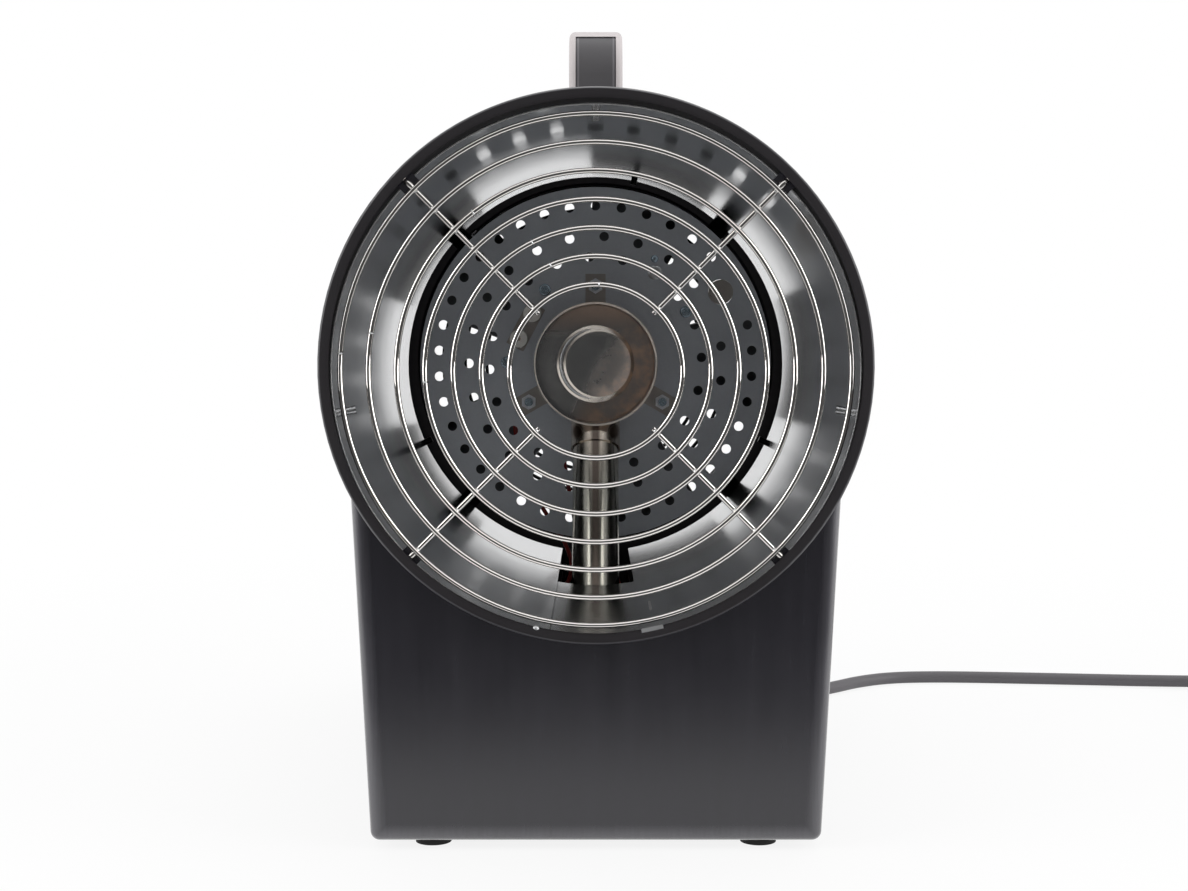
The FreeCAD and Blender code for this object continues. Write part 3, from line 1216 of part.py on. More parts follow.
# Nodes, one file each
nodes = {
    "drum": drum, "combustion_chamber": chamber, "chamber_spacers": chamber_spacers,
    "chamber_screws": chamber_screws, "wire_guard": wire_guard, "guard_clips": guard_clips,
    "flame_plate": flame_plate, "plate_brackets": plate_brackets, "plate_screws": plate_screws,
    "burner_cup": burner_cup, "burner_cap": burner_cap,
    "burner_brackets": burner_brackets, "burner_bolts": burner_bolts, "burner_nuts": burner_nuts,
    "mixing_tube": mixing_tube, "tube_collar": tube_collar, "injector_holder": injector_holder,
    "injector": injector, "gas_pipe": gas_pipe, "gas_valve": gas_valve, "gas_inlet": gas_inlet,
    "inlet_nut": inlet_nut, "valve_spindle": valve_spindle, "control_knob": control_knob,
    "safety_button": safety_button, "piezo_igniter": piezo_body, "piezo_nut": piezo_nut,
    "igniter_button": piezo_button, "ignition_lead": ignition_lead, "ignition_electrode": sensor_rods[0],
    "thermocouple": sensor_rods[1], "thermocouple_lead": thermocouple_lead, "sensor_insulators": insulators,
    "sensor_bracket": sensor_bracket, "overheat_thermostat": thermostat, "fan": fan,
    "motor_shaft": motor_shaft, "motor": motor, "motor_lead": motor_lead, "motor_screws": motor_screws,
    "rear_grille": rear_grille,
    "casing_screws": plate_bracket_screws + grille_screws, "base_shell": base_shell, "rear_panel": rear_panel,
    "panel_screws": panel_screws, "drum_saddles": drum_saddles, "saddle_screws": saddle_screws + drum_screws,
    "rubber_feet": rubber_feet, "foot_screws": foot_screws, "handle_bow": handle_bow,
    "handle_inlays": handle_inlays, "handle_screws": handle_screws, "power_switch": power_switch,
    "switch_rocker": switch_rocker, "terminal_block": terminal_block, "cable_gland": cable_gland,
    "mains_lead": mains_lead, "mains_lead_coil": mains_lead_coil, "lead_tie": lead_tie,
    "mains_plug": fused([mains_plug] + plug_pins),
}
for name, shape in nodes.items():
    save(name, shape)
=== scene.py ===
import math

import bmesh
import bpy
from bpy.props import FloatProperty, FloatVectorProperty, PointerProperty
from mathutils import Matrix, Vector


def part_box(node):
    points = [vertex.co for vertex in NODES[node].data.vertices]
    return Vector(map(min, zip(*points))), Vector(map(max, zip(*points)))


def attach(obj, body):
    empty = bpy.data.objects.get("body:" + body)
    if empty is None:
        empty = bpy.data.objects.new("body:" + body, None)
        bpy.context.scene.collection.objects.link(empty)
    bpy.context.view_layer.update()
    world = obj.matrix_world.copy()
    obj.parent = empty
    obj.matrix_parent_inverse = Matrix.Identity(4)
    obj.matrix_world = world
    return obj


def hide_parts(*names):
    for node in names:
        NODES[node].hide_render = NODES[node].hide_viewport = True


bl_info = {
    "name": "Gas space heater",
    "version": (1, 0, 0),
    "blender": (4, 5, 0),
    "location": "View3D > Sidebar > Heater",
    "description": "Finishes, fine detail and a studio stage for a forced-air gas space heater",
    "category": "Object",
}

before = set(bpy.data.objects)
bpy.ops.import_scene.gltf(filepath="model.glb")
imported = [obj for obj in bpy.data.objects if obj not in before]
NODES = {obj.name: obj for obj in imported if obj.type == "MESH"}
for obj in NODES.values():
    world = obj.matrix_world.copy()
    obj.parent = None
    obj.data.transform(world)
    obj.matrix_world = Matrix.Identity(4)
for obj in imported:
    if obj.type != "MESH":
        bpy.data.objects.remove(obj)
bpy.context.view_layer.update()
BODY = "heater"


def middle(node):
    """Centre of a CAD node's box."""
    low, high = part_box(node)
    return (low + high) / 2.0


DRUM_LOW, DRUM_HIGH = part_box("drum")
CHAMBER_LOW, CHAMBER_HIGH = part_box("combustion_chamber")
CUP_LOW, CUP_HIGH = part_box("burner_cup")
BASE_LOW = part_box("base_shell")[0]
CHAMBER_AXIS = middle("combustion_chamber").z
CUP_AXIS = middle("burner_cup").z
FLOOR_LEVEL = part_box("rubber_feet")[0].z
# The drum's front edge, from which depths count
FRONT = DRUM_LOW.y
# In these values a pair is where a finish begins and ends to change
DRUM_WALL = 0.001
DRUM_BORE = (DRUM_HIGH.x - DRUM_LOW.x) / 2.0 - DRUM_WALL
BORE_EDGE = (DRUM_BORE + 0.0002, DRUM_BORE + 0.0006)
SOOTY_BORE = (FRONT + 0.012, FRONT + 0.030)
SOOTY_RIM = (DRUM_BORE - 0.0003, DRUM_BORE + 0.0003)
SOOTY_FRONT = (FRONT + 0.004, FRONT + 0.006)
# Radius, thickness and depth of the drum's rolled rear edge
REAR_EDGE = (DRUM_BORE - 0.0010, 0.0024, DRUM_HIGH.y - FRONT - 0.0014)
# A tab on the drum's rim: radius, angle, and width, thickness and height
RIM_TAB = (0.1211, -77.8, (0.0100, 0.0008, 0.0036))
# A bolt on the drum's rim: radius, angle, diameter and height, and its depth
RIM_BOLT = (0.1210, -103.0, 0.0034, 0.00136)
RIM_BOLT_DEPTH = 0.0017
# Half the base's width at its foot, how much it widens upwards, and how far in from its front edges the
# painted highlight reaches
BASE_FOOT = 0.1052
BASE_LEAN = 0.0509
BASE_HIGHLIGHT_REACH = 0.0090
# The chamber's bright lip by radius, thickness and depth, and the depth of the ring that closes the gap
# round it
CHAMBER_OUTSIDE = (CHAMBER_HIGH.x - CHAMBER_LOW.x) / 2.0
CHAMBER_FRONT = CHAMBER_LOW.y - FRONT
CHAMBER_LIP = (CHAMBER_OUTSIDE - 0.0004, 0.0009, CHAMBER_FRONT + 0.0003)
FRONT_RING = CHAMBER_FRONT + 0.0006
# The chamber's bottom, with its seam, its spot weld and a scratch with two soft ends
CHAMBER_BOTTOM = (CHAMBER_AXIS - 0.115, CHAMBER_AXIS - 0.108)
SEAM_X = -0.0207
SEAM_WIDTH = (0.0002, 0.0006)
WELD = Vector((-0.023, FRONT + 0.027, 0.0))
WELD_SIZE = (0.0012, 0.0034)
SCRATCH_X = 0.0267
SCRATCH_WIDTH = (0.0003, 0.0008)
SCRATCH_START = (FRONT + 0.058, FRONT + 0.064)
SCRATCH_END = (FRONT + 0.087, FRONT + 0.093)
# Heat dulls the chamber's rear and blackens its screws there, wiping dulls all but its top, and dust lies
# on its front
DULLED = (FRONT + 0.090, FRONT + 0.150)
HOT_SCREWS = (FRONT + 0.10, FRONT + 0.20)
WORN = (CHAMBER_AXIS + 0.045, CHAMBER_AXIS + 0.085)
HAZY = (FRONT + 0.015, FRONT + 0.075)
# Radius, thickness and depth of the cup's rim
CUP_RIM = ((CUP_HIGH.x - CUP_LOW.x) / 2.0 - 0.0006, 0.0011, CUP_LOW.y - FRONT + 0.0004)
# The cap's shoulder, worn wider on the left: each loop's shift to the right, its radius and its depth
# behind the face
CAP_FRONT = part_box("burner_cap")[0].y - FRONT
CAP_SHOULDER = ((0.0017, 0.0185, 0.0003), (0.0017, 0.0188, -0.0005),
                (0.0, 0.0222, 0.0014), (0.0, 0.0222, 0.0040))
# Which way the bronze leans, where it lies on that side as heat tint with a painted highlight, and where heat
# has tinted the burner above
TINT_AND_HIGHLIGHT_LEAN = Vector((0.9, 0.0, -0.45))
TINT_AND_HIGHLIGHT_SIDE = (-0.004, 0.018)
FLAME_ABOVE = (CUP_AXIS + 0.014, CUP_AXIS + 0.034)
# The mixing tube's brown stripe down its front, a painted dark reflection, its straw tint under the cup, and
# narrow dents on both sides of its collar
TUBE_REFLECTION_STRIPE = (0.0012, 0.0034)
STRAW_TINT = (CUP_LOW.z - 0.035, CUP_LOW.z)
COLLAR_DENT = Vector((0.0104, 0.0, CUP_LOW.z - 0.0035))
DENT_SIZE = (0.0026, 0.0062)
DENT_NARROWING = 0.7
# A cover disc and a rivet on the plate: radius, angle, diameter and height
PLATE_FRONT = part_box("flame_plate")[0].y - FRONT
PLATE_COVER = (0.0652, 56.8, 0.0090, 0.0012)
PLATE_RIVET = (0.0720, 60.5, 0.0046, 0.0014)
# The guard's rings, counted from the inmost, and its spokes' angles
GUARD_INNER = 0.0390
GUARD_STEP = 0.01269
GUARD_RINGS = 7
GUARD_SPOKES = (45.0, 135.0, 225.0, 315.0)
# Depths of the rings and of their joins with the spokes, angles of the rings' butt welds, and sizes of
# the beads
GUARD_DEPTH = 0.00455
GUARD_JOIN = 0.00555
BUTT_WELDS = (88.0, 113.3, 116.4, 183.6, 127.8, 170.4, 176.0)
JOIN_BEAD = (0.0036, 0.0018, 0.0036)
BUTT_BEAD = (0.0032, 0.0031, 0.0013)
# Where the spokes' bent ends show outside the rings and behind the clips: radius and length
GUARD_HOOKS = ((0.1181, 0.0076), (0.1226, 0.0036))
HOOK_THICKNESS = 0.0030
HOOK_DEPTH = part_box("guard_clips")[0].y - FRONT - 0.0004
# Width, depth and height of the knob's pointer, and the rounding of its edges
POINTER = Vector((0.0016, 0.0008, 0.0070))
POINTER_ROUNDING = 0.0002
# The grooves along the handle's inlays, painted pale as highlights: how far they run from the middle, and how
# wide
INLAY_HIGHLIGHT_GROOVE = 0.0090
INLAY_GROOVE_WIDTH = (0.0003, 0.0007)
ZINC_NODES = ["chamber_spacers", "motor_screws", "casing_screws", "foot_screws", "handle_screws",
              "motor_shaft", "valve_spindle", "injector_holder", "piezo_nut"]
# Faces that meet at a larger angle than this keep a sharp edge, and rings have this many steps round
SHARP = math.radians(35.0)
RING_STEPS = 192
# How shiny the powder coat is, and how its streaks are stretched upright
COAT_GLOSS = 0.75
UPRIGHT = (14.0, 14.0, 0.5)
SHOWING_RAYS = ["Is Camera Ray", "Is Glossy Ray", "Is Transmission Ray"]
SOCKETS = {"metallic": "Metallic", "specular_ior_level": "Specular IOR Level",
           "coat_roughness": "Coat Roughness"}


class Value:
    """A shader socket that can be written in sums."""

    def __init__(self, finish, socket):
        self.finish = finish
        self.socket = socket

    def maths(self, operation, first, second=0.0):
        return self.finish.node("ShaderNodeMath", {"operation": operation}, {0: first, 1: second})

    def __add__(self, other):
        return self.maths("ADD", self, other)

    def __sub__(self, other):
        return self.maths("SUBTRACT", self, other)

    def __rsub__(self, other):
        return self.maths("SUBTRACT", other, self)

    def __mul__(self, other):
        return self.maths("MULTIPLY", self, other)

    def __truediv__(self, other):
        return self.maths("DIVIDE", self, other)

    def __pow__(self, other):
        return self.maths("POWER", self, other)

    def __abs__(self):
        return self.maths("ABSOLUTE", self)

    def least(self, other):
        return self.maths("MINIMUM", self, other)

    def most(self, other):
        return self.maths("MAXIMUM", self, other)

    __radd__ = __add__
    __rmul__ = __mul__


class Nodes:
    """The nodes of one shader tree."""

    def __init__(self, tree):
        self.tree = tree

    def feed(self, socket, value):
        if isinstance(value, Value):
            self.tree.links.new(value.socket, socket)
        elif socket.type == "RGBA" and len(value) == 3:
            socket.default_value = (*value, 1.0)
        else:
            socket.default_value = value

    def node(self, kind, settings=None, inputs=None, output=0):
        """Add a node: its settings first, then the values or links of its sockets."""
        made = self.tree.nodes.new(kind)
        for name, value in (settings or {}).items():
            setattr(made, name, value)
        for name, value in (inputs or {}).items():
            self.feed(made.inputs[name], value)
        return Value(self, made.outputs[output])

    def ray(self, name):
        """One for rays of a kind, else nought."""
        return self.node("ShaderNodeLightPath", output=name)

    def seen(self):
        """One for rays that show the stage to the camera, straight or by mirror or glass, else nought."""
        camera, glossy, through = [self.ray(name) for name in SHOWING_RAYS]
        return camera.most(glossy).most(through)

    def place(self):
        """Object coordinates, which are the heater's own frame in metres."""
        return self.node("ShaderNodeTexCoord", output="Object")

    def axes(self, vector=None):
        """The three parts of a vector, by default of the place."""
        split = self.node("ShaderNodeSeparateXYZ", None, {0: vector or self.place()})
        outputs = split.socket.node.outputs
        return [Value(self, outputs[axis]) for axis in range(3)]

    def noise(self, scale, detail=3.0, rough=0.55, stretch=(1.0, 1.0, 1.0)):
        """Cloudy noise from nought to one, with waves about one over scale long."""
        vector = self.node("ShaderNodeMapping", None, {"Vector": self.place(), "Scale": stretch})
        return self.node("ShaderNodeTexNoise", None, {"Vector": vector, "Scale": scale, "Detail": detail,
                                                      "Roughness": rough})

    def fade(self, value, low, high):
        """A smooth step from nought at low to one at high."""
        return self.node("ShaderNodeMapRange", {"interpolation_type": "SMOOTHSTEP"},
                         {"Value": value, "From Min": low, "From Max": high})

    def mix(self, share, first, second):
        """A colour between two, by a share."""
        return self.node("ShaderNodeMix", {"data_type": "RGBA"}, {0: share, 6: first, 7: second}, 2)

    def tint(self, colour, shade):
        """A colour darkened or lightened by a value."""
        grey = self.node("ShaderNodeCombineColor", None, {0: shade, 1: shade, 2: shade})
        return self.node("ShaderNodeMix", {"data_type": "RGBA", "blend_type": "MULTIPLY"},
                         {0: 1.0, 6: colour, 7: grey}, 2)

    @staticmethod
    def distance(first, second):
        """How far a place is from a middle, by its two distances along the axes."""
        return (first * first + second * second) ** 0.5


class Finish(Nodes):
    """A material being made: one principled shader and the nodes that feed it."""

    def __init__(self, name, **constants):
        self.material = bpy.data.materials.new(name)
        self.material.use_nodes = True
        super().__init__(self.material.node_tree)
        self.shader = self.tree.nodes["Principled BSDF"]
        for socket, value in constants.items():
            self.set(SOCKETS[socket], value)

    def set(self, socket, value):
        """Give one socket of the shader its value or its link."""
        self.feed(self.shader.inputs[socket], value)

    def cover(self, share, other):
        """Let another shader take the principled one's place, by a share."""
        own = Value(self, self.shader.outputs[0])
        mixed = self.node("ShaderNodeMixShader", None, {0: share, 1: own, 2: other})
        self.feed(self.tree.nodes["Material Output"].inputs["Surface"], mixed)

    def bump(self, height, distance, strength=1.0):
        """Fine relief; the distance is the height's size in metres."""
        self.set("Normal", self.node("ShaderNodeBump", None, {"Height": height, "Distance": distance,
                                                              "Strength": strength}))


def colour(name, words, default):
    """A colour that a user may change."""
    return FloatVectorProperty(name=name, description=words, default=default, size=3, min=0.0, max=1.0,
                               subtype="COLOR")


def length(name, words, default):
    """A length that a user may change, in metres."""
    return FloatProperty(name=name, description=words, default=default, min=0.0, precision=4, unit="LENGTH")


class HeaterColours(bpy.types.PropertyGroup):
    """Colours of the heater's finishes, as linear light."""

    black_coat: colour("Black coat", "Powder coat of the drum, the base and what belongs to them",
                       (0.0172, 0.0163, 0.0218))
    dusty_coat: colour("Dusty coat", "Powder coat of the ring round the chamber", (0.026, 0.025, 0.027))
    polished_steel: colour("Polished steel", "Combustion chamber and its bright screws", (0.78, 0.785, 0.795))
    soot: colour("Soot", "Drum's inside and front edge", (0.0180, 0.0169, 0.0182))
    # Painted highlight: paler coat colour for the base's rounded front edges
    edge_highlight_coat: colour("Rubbed coat", "Powder coat along the base's front edges", (0.060, 0.058, 0.068))
    bright_wire: colour("Bright wire", "Plated wire of the front guard", (0.92, 0.89, 0.86))
    plate_steel: colour("Plate steel", "Perforated flame plate", (0.66, 0.69, 0.735))
    burnt_steel: colour("Burnt steel", "Burner cup and cap where the flame has not tinted them",
                        (0.52, 0.52, 0.52))
    # Pale enough to carry the painted highlight on the burner's lower right as well as the heat tint
    heat_bronze: colour("Heat bronze", "Flame-tinted burner steel and sensor wires", (0.96, 0.77, 0.64))
    tube_steel: colour("Tube steel", "Stainless mixing tube", (0.53, 0.51, 0.44))
    # Painted reflection: colour of the dark stripe down the mixing tube's front
    reflection_brown: colour("Seam brown", "Weld seam of the mixing tube", (0.085, 0.062, 0.053))
    dent_brown: colour("Dent brown", "Dents beside the mixing tube's collar", (0.085, 0.042, 0.020))
    bright_zinc: colour("Bright zinc", "Nuts of the burner", (0.93, 0.96, 1.0))
    rim_steel: colour("Rim steel", "Rims of the burner's cup and cap", (0.90, 0.83, 0.74))
    smoked_steel: colour("Smoked steel", "Brackets and thermostat beside the flame", (0.47, 0.44, 0.42))
    blued_steel: colour("Blued steel", "Small screws of the flame plate", (0.40, 0.49, 0.56))
    zinc: colour("Zinc", "Plated screws, nuts and small steel pieces", (0.62, 0.63, 0.64))
    brass: colour("Brass", "Gas fittings", (0.72, 0.50, 0.20))
    copper: colour("Copper", "Gas pipe", (0.78, 0.36, 0.20))
    cast_alloy: colour("Cast alloy", "Gas valve", (0.58, 0.58, 0.59))
    # A very dark colour for the fan, which is what shows through the flame plate's holes
    dark_fan_alloy: colour("Dusty alloy", "Fan", (0.15, 0.15, 0.155))
    ceramic: colour("Ceramic", "Sensor insulators", (0.88, 0.86, 0.81))
    grey_plastic: colour("Grey plastic", "Bow of the carrying handle", (0.57, 0.53, 0.53))
    inlay_plastic: colour("Inlay plastic", "Inlays of the carrying handle", (0.080, 0.077, 0.082))
    dark_plastic: colour("Dark plastic", "Knob, switch, gland, tie and motor", (0.035, 0.034, 0.037))
    red_plastic: colour("Red plastic", "Push buttons", (0.46, 0.022, 0.016))
    red_sheath: colour("Red sheath", "Inner leads", (0.24, 0.016, 0.012))
    white_plastic: colour("White plastic", "Terminal block and the knob's pointer", (0.70, 0.69, 0.64))
    lead_grey: colour("Lead grey", "Mains lead and its plug", (0.115, 0.11, 0.118))
    rubber: colour("Rubber", "Feet, blackened steel and black gloss plastic", (0.016, 0.016, 0.016))


class HeaterSizes(bpy.types.PropertyGroup):
    """Sizes of the mains lead."""

    lead_diameter: length("Lead diameter", "Outside of the mains lead", 0.008)
    lead_length: length("Lead length", "Mains lead from the gland to the plug", 1.49)


class HeaterStage(bpy.types.PropertyGroup):
    """Camera, floor and soft light."""

    camera_distance: length("Camera distance", "From the drum's front edge to the lens", 0.778)
    camera_height: length("Camera height", "Lens above the floor", 0.2325)
    camera_side: FloatProperty(name="Camera side", description="Lens to the right of the drum's axis",
                               default=-0.0009, precision=4, unit="LENGTH")
    camera_pitch: FloatProperty(name="Camera pitch", description="How far the camera looks down",
                                default=math.radians(3.13), subtype="ANGLE")
    camera_lens: FloatProperty(name="Lens", description="Focal length on a 36 mm frame", default=52.7,
                               min=1.0, unit="CAMERA")
    floor_colour: colour("Floor", "Plain floor of the studio", (0.93, 0.93, 0.93))
    ambient: FloatProperty(name="Ambient", description="Soft light from all round", default=0.70, min=0.0,
                           max=1.0, subtype="FACTOR")


CAMERA_NAME = "photo_camera"
# Width of the camera's frame in millimetres
CAMERA_FRAME = 36.0


def hues():
    return bpy.context.scene.heater_colours


def sizes():
    return bpy.context.scene.heater_sizes


def studio():
    return bpy.context.scene.heater_stage


class HEATER_OT_camera(bpy.types.Operator):
    """Stand the camera straight in front of the mouth"""

    bl_idname = "heater.camera"
    bl_label = "Camera"

    def execute(self, context):
        data = bpy.data.cameras.new(CAMERA_NAME)
        data.lens = studio().camera_lens
        data.sensor_width = CAMERA_FRAME
        camera = bpy.data.objects.new(CAMERA_NAME, data)
        camera.location = (studio().camera_side, FRONT - studio().camera_distance, studio().camera_height)
        camera.rotation_euler = (math.pi / 2.0 - studio().camera_pitch, 0.0, 0.0)
        context.scene.collection.objects.link(camera)
        context.scene.camera = camera
        return {"FINISHED"}


# Route of the mains lead in metres, from the gland to where the coil begins
LEAD_ROUTE = [
    (0.080, 0.0895, 0.0200), (0.081, 0.1085, 0.0165), (0.091, 0.1285, 0.0095), (0.114, 0.1435, 0.0045),
    (0.141, 0.1520, 0.0041), (0.162, 0.1695, 0.0041), (0.182, 0.1905, 0.0041), (0.208, 0.2055, 0.0041),
    (0.243, 0.2080, 0.0041), (0.288, 0.2040, 0.0041), (0.336, 0.1985, 0.0041), (0.384, 0.1913, 0.0044),
]
# The coil's middle, largest radius, distance between turns and starting angle, the height of its lower
# layer and the rise to the upper one
COIL_CENTRE = Vector((0.464, 0.1262, 0.0))
COIL_RADIUS = 0.0484
COIL_PITCH = 0.0086
COIL_START = math.radians(78.0)
COIL_LOW = 0.00535
COIL_RISE = 0.0086
# Turns wound inwards, turns that climb to the upper layer, all turns, those that lift the end to the plug,
# and the plug's height
COIL_INWARD = 2.0
COIL_CLIMB = 0.5
COIL_TURNS = 4.25
COIL_LIFT = 0.4
PLUG_LEVEL = 0.01805
# Control points in a turn, and the lengths of the straight stretches beside the coil
COIL_POINTS = 16
COIL_LEAD_IN = 0.010
COIL_APPROACH = 0.038


def eased(share):
    """A smooth step from nought to one."""
    held = min(max(share, 0.0), 1.0)
    return held * held * (3.0 - 2.0 * held)


def coil_point(turns):
    """Middle of the lead after some turns, wound in on the floor and out again on top."""
    reversal = COIL_INWARD + COIL_CLIMB / 2.0
    radius = COIL_RADIUS - COIL_PITCH * (reversal - abs(turns - reversal))
    angle = COIL_START - 2.0 * math.pi * turns
    climb = eased((turns - COIL_INWARD) / COIL_CLIMB)
    lift = eased((turns - COIL_TURNS + COIL_LIFT) / COIL_LIFT)
    height = COIL_LOW + COIL_RISE * climb + (PLUG_LEVEL - COIL_LOW - COIL_RISE) * lift
    return COIL_CENTRE + Vector((radius * math.cos(angle), radius * math.sin(angle), height))


def coil_way(turns):
    """Direction of the lead square to the coil's radius."""
    angle = COIL_START - 2.0 * math.pi * turns
    return Vector((math.sin(angle), -math.cos(angle), 0.0))


def lead_points():
    """Control points of the whole lead, from the gland through the coil to the plug."""
    entry = coil_point(0.0) - coil_way(0.0) * COIL_LEAD_IN
    points = [Vector(point) for point in LEAD_ROUTE]
    points += [entry - coil_way(0.0) * COIL_APPROACH, entry]
    steps = int(COIL_POINTS * COIL_TURNS)
    points += [coil_point(step / COIL_POINTS) for step in range(steps + 1)]
    points.append(coil_point(COIL_TURNS) + coil_way(COIL_TURNS) * 2.0 * COIL_LEAD_IN)
    return points


class HEATER_OT_mains_lead(bpy.types.Operator):
    """Lay the mains lead along the floor to its put-away coil"""

    bl_idname = "heater.mains_lead"
    bl_label = "Mains lead"

    def execute(self, context):
        points = lead_points()
        curve = bpy.data.curves.new("mains_lead_curve", "CURVE")
        curve.dimensions = "3D"
        curve.bevel_depth = sizes().lead_diameter / 2.0
        curve.bevel_resolution = 6
        curve.resolution_u = 8
        spline = curve.splines.new("NURBS")
        spline.points.add(len(points) - 1)
        for control, point in zip(spline.points, points):
            control.co = (*point, 1.0)
        spline.order_u = 3
        spline.use_endpoint_u = True
        lead = bpy.data.objects.new("mains_lead_sheath", curve)
        context.scene.collection.objects.link(lead)
        curve.materials.append(lead_sheath())
        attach(lead, BODY)
        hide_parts("mains_lead", "mains_lead_coil")
        return {"FINISHED"}


def dress(material, *nodes):
    """Give CAD nodes a finish."""
    for node in nodes:
        for slot in NODES[node].material_slots:
            slot.material = material


def spray(finish, hue, streaks=0.0, rough=0.20, brushed=0.0):
    """Satin powder coat: fine orange peel, faint mottling and, on flat sides, upright wiping streaks."""
    mottle = finish.noise(38.0, 4.0)
    wiped = finish.noise(9.0, 5.0, 0.6, UPRIGHT)
    shade = 0.88 + mottle * 0.24 + (wiped - 0.5) * streaks + brushed
    finish.set("Base Color", finish.tint(hue, shade))
    finish.set("Roughness", rough + mottle * 0.08 + (wiped - 0.5) * streaks * 0.2)
    finish.bump(finish.noise(1500.0, 2.0), 0.00002, 0.5)


def coat(name, hue, streaks=0.0, rough=0.20):
    """A material of powder coat alone."""
    finish = Finish(name, specular_ior_level=COAT_GLOSS)
    spray(finish, hue, streaks, rough)
    return finish.material


def base_coat():
    """The base's powder coat: brushed upright, painted paler along its front edges as a highlight, and shiny
    there.
    """
    finish = Finish("base_coat", specular_ior_level=COAT_GLOSS, coat_roughness=0.25)
    x, y, z = finish.axes()
    height = z - BASE_LOW.z
    inward = BASE_FOOT + height * BASE_LEAN - abs(x)
    # Painted highlight: the rounded front edges are coloured paler for the light they catch, and given a
    # gloss coat
    edge = 1.0 - finish.fade(inward.least(height), BASE_HIGHLIGHT_REACH * 0.2, BASE_HIGHLIGHT_REACH)
    rubbed = edge * (1.0 - finish.fade(y, BASE_LOW.y + BASE_HIGHLIGHT_REACH, BASE_LOW.y + BASE_HIGHLIGHT_REACH * 2.0))
    patchy_highlight = rubbed * (0.8 + finish.noise(38.0, 4.0) * 0.4)
    brushed = finish.noise(60.0, 3.0, 0.6, UPRIGHT)
    hue = finish.mix(patchy_highlight, hues().black_coat, hues().edge_highlight_coat)
    spray(finish, hue, 0.5, brushed=(brushed - 0.5) * 0.5)
    finish.set("Coat Weight", rubbed)
    return finish.material


def drum_coat():
    """The drum's powder coat, sooty and quite matt inside and on its front edge."""
    finish = Finish("drum_coat", specular_ior_level=COAT_GLOSS)
    spray(finish, hues().black_coat, rough=0.27)
    x, y, z = finish.axes()
    axis = middle("drum")
    radius = finish.distance(x - axis.x, z - axis.z)
    bore = (1.0 - finish.fade(radius, *BORE_EDGE)) * finish.fade(y, *SOOTY_BORE)
    rim = 1.0 - finish.fade(radius, *SOOTY_RIM)
    sooty = bore.most(rim * (1.0 - finish.fade(y, *SOOTY_FRONT)))
    soot = finish.tint(hues().soot, 0.6 + finish.noise(60.0, 3.0) * 0.4 + rim * 0.6)
    finish.cover(sooty, finish.node("ShaderNodeBsdfDiffuse", None, {"Color": soot}))
    return finish.material


def metal(name, hue, rough, grain=(1.0, 1.0, 1.0), scale=240.0, spread=0.16, shade=0.24):
    """Bare metal: rubbed grain that runs along the small parts of its stretch, and cloudy handling marks."""
    finish = Finish(name, metallic=1.0)
    rubbed = finish.noise(scale, 4.0, 0.6, grain)
    clouds = finish.noise(45.0, 3.0)
    finish.set("Base Color", finish.tint(hue, 1.0 - shade / 2.0 + (rubbed * 0.5 + clouds * 0.5) * shade))
    finish.set("Roughness", rough + (rubbed - 0.5) * spread + (clouds - 0.5) * spread)
    finish.bump(rubbed, 0.00002, 0.35)
    return finish.material


def moulded(name, hue, rough=0.5, grain=1400.0, relief=0.00004, specular=0.4):
    """Moulded plastic or rubber: fine spark-eroded grain, a little wear and dust."""
    finish = Finish(name, specular_ior_level=specular)
    pebbles = finish.noise(grain, 2.0)
    clouds = finish.noise(60.0, 4.0)
    finish.set("Base Color", finish.tint(hue, 0.90 + clouds * 0.16 + pebbles * 0.06))
    finish.set("Roughness", rough - 0.06 + clouds * 0.12)
    finish.bump(pebbles, relief, 0.6)
    return finish.material


def lead_sheath():
    """Grey sheath of the mains lead, with faint scuffs."""
    return moulded("lead_sheath", hues().lead_grey, 0.48, 900.0, 0.00003)


def polished_sheet():
    """Bright rolled sheet of the chamber: rolling lines, buckles, a seam, a weld, a scratch and dust."""
    finish = Finish("polished_sheet")
    x, y, z = finish.axes()
    rolled = finish.noise(420.0, 4.0, 0.6, (1.0, 0.03, 1.0))
    clouds = finish.noise(24.0, 4.0)
    bottom = 1.0 - finish.fade(z, *CHAMBER_BOTTOM)
    seam = bottom * (1.0 - finish.fade(abs(x - SEAM_X), *SEAM_WIDTH))
    weld = bottom * (1.0 - finish.fade(finish.distance(x - WELD.x, y - WELD.y), *WELD_SIZE))
    along = finish.fade(y, *SCRATCH_START) - finish.fade(y, *SCRATCH_END)
    scratch = bottom * along * (1.0 - finish.fade(abs(x - SCRATCH_X), *SCRATCH_WIDTH))
    shade = 0.92 + rolled * 0.10 + clouds * 0.06 - seam * 0.6 - weld * 0.35
    finish.set("Base Color", finish.tint(hues().polished_steel, shade))
    dull = finish.fade(y, *DULLED).most(1.0 - finish.fade(z, *WORN))
    marks = weld * 0.25 + scratch * 0.4 + dull * 0.13
    finish.set("Roughness", 0.042 + rolled * 0.03 + clouds * 0.05 + marks)
    dusty = 1.0 - finish.fade(y, *HAZY)
    finish.set("Metallic", 1.0 - dusty * 0.13)
    buckled = finish.noise(16.0, 2.0) * 18.0
    finish.bump(buckled + rolled * 0.4 - seam * 4.0 - weld * 3.0, 0.00002, 0.4)
    return finish.material


def chamber_screw_steel():
    """Screws of the chamber: bright at the mouth, blackened by heat further in."""
    finish = Finish("chamber_screw_steel", metallic=1.0)
    clouds = finish.noise(90.0, 3.0)
    hot = finish.fade(finish.axes()[1], *HOT_SCREWS)
    hue = finish.mix(hot, hues().polished_steel, hues().rubber)
    finish.set("Base Color", finish.tint(hue, 0.86 + clouds * 0.2))
    finish.set("Roughness", 0.14 + hot * 0.25 + clouds * 0.06)
    return finish.material


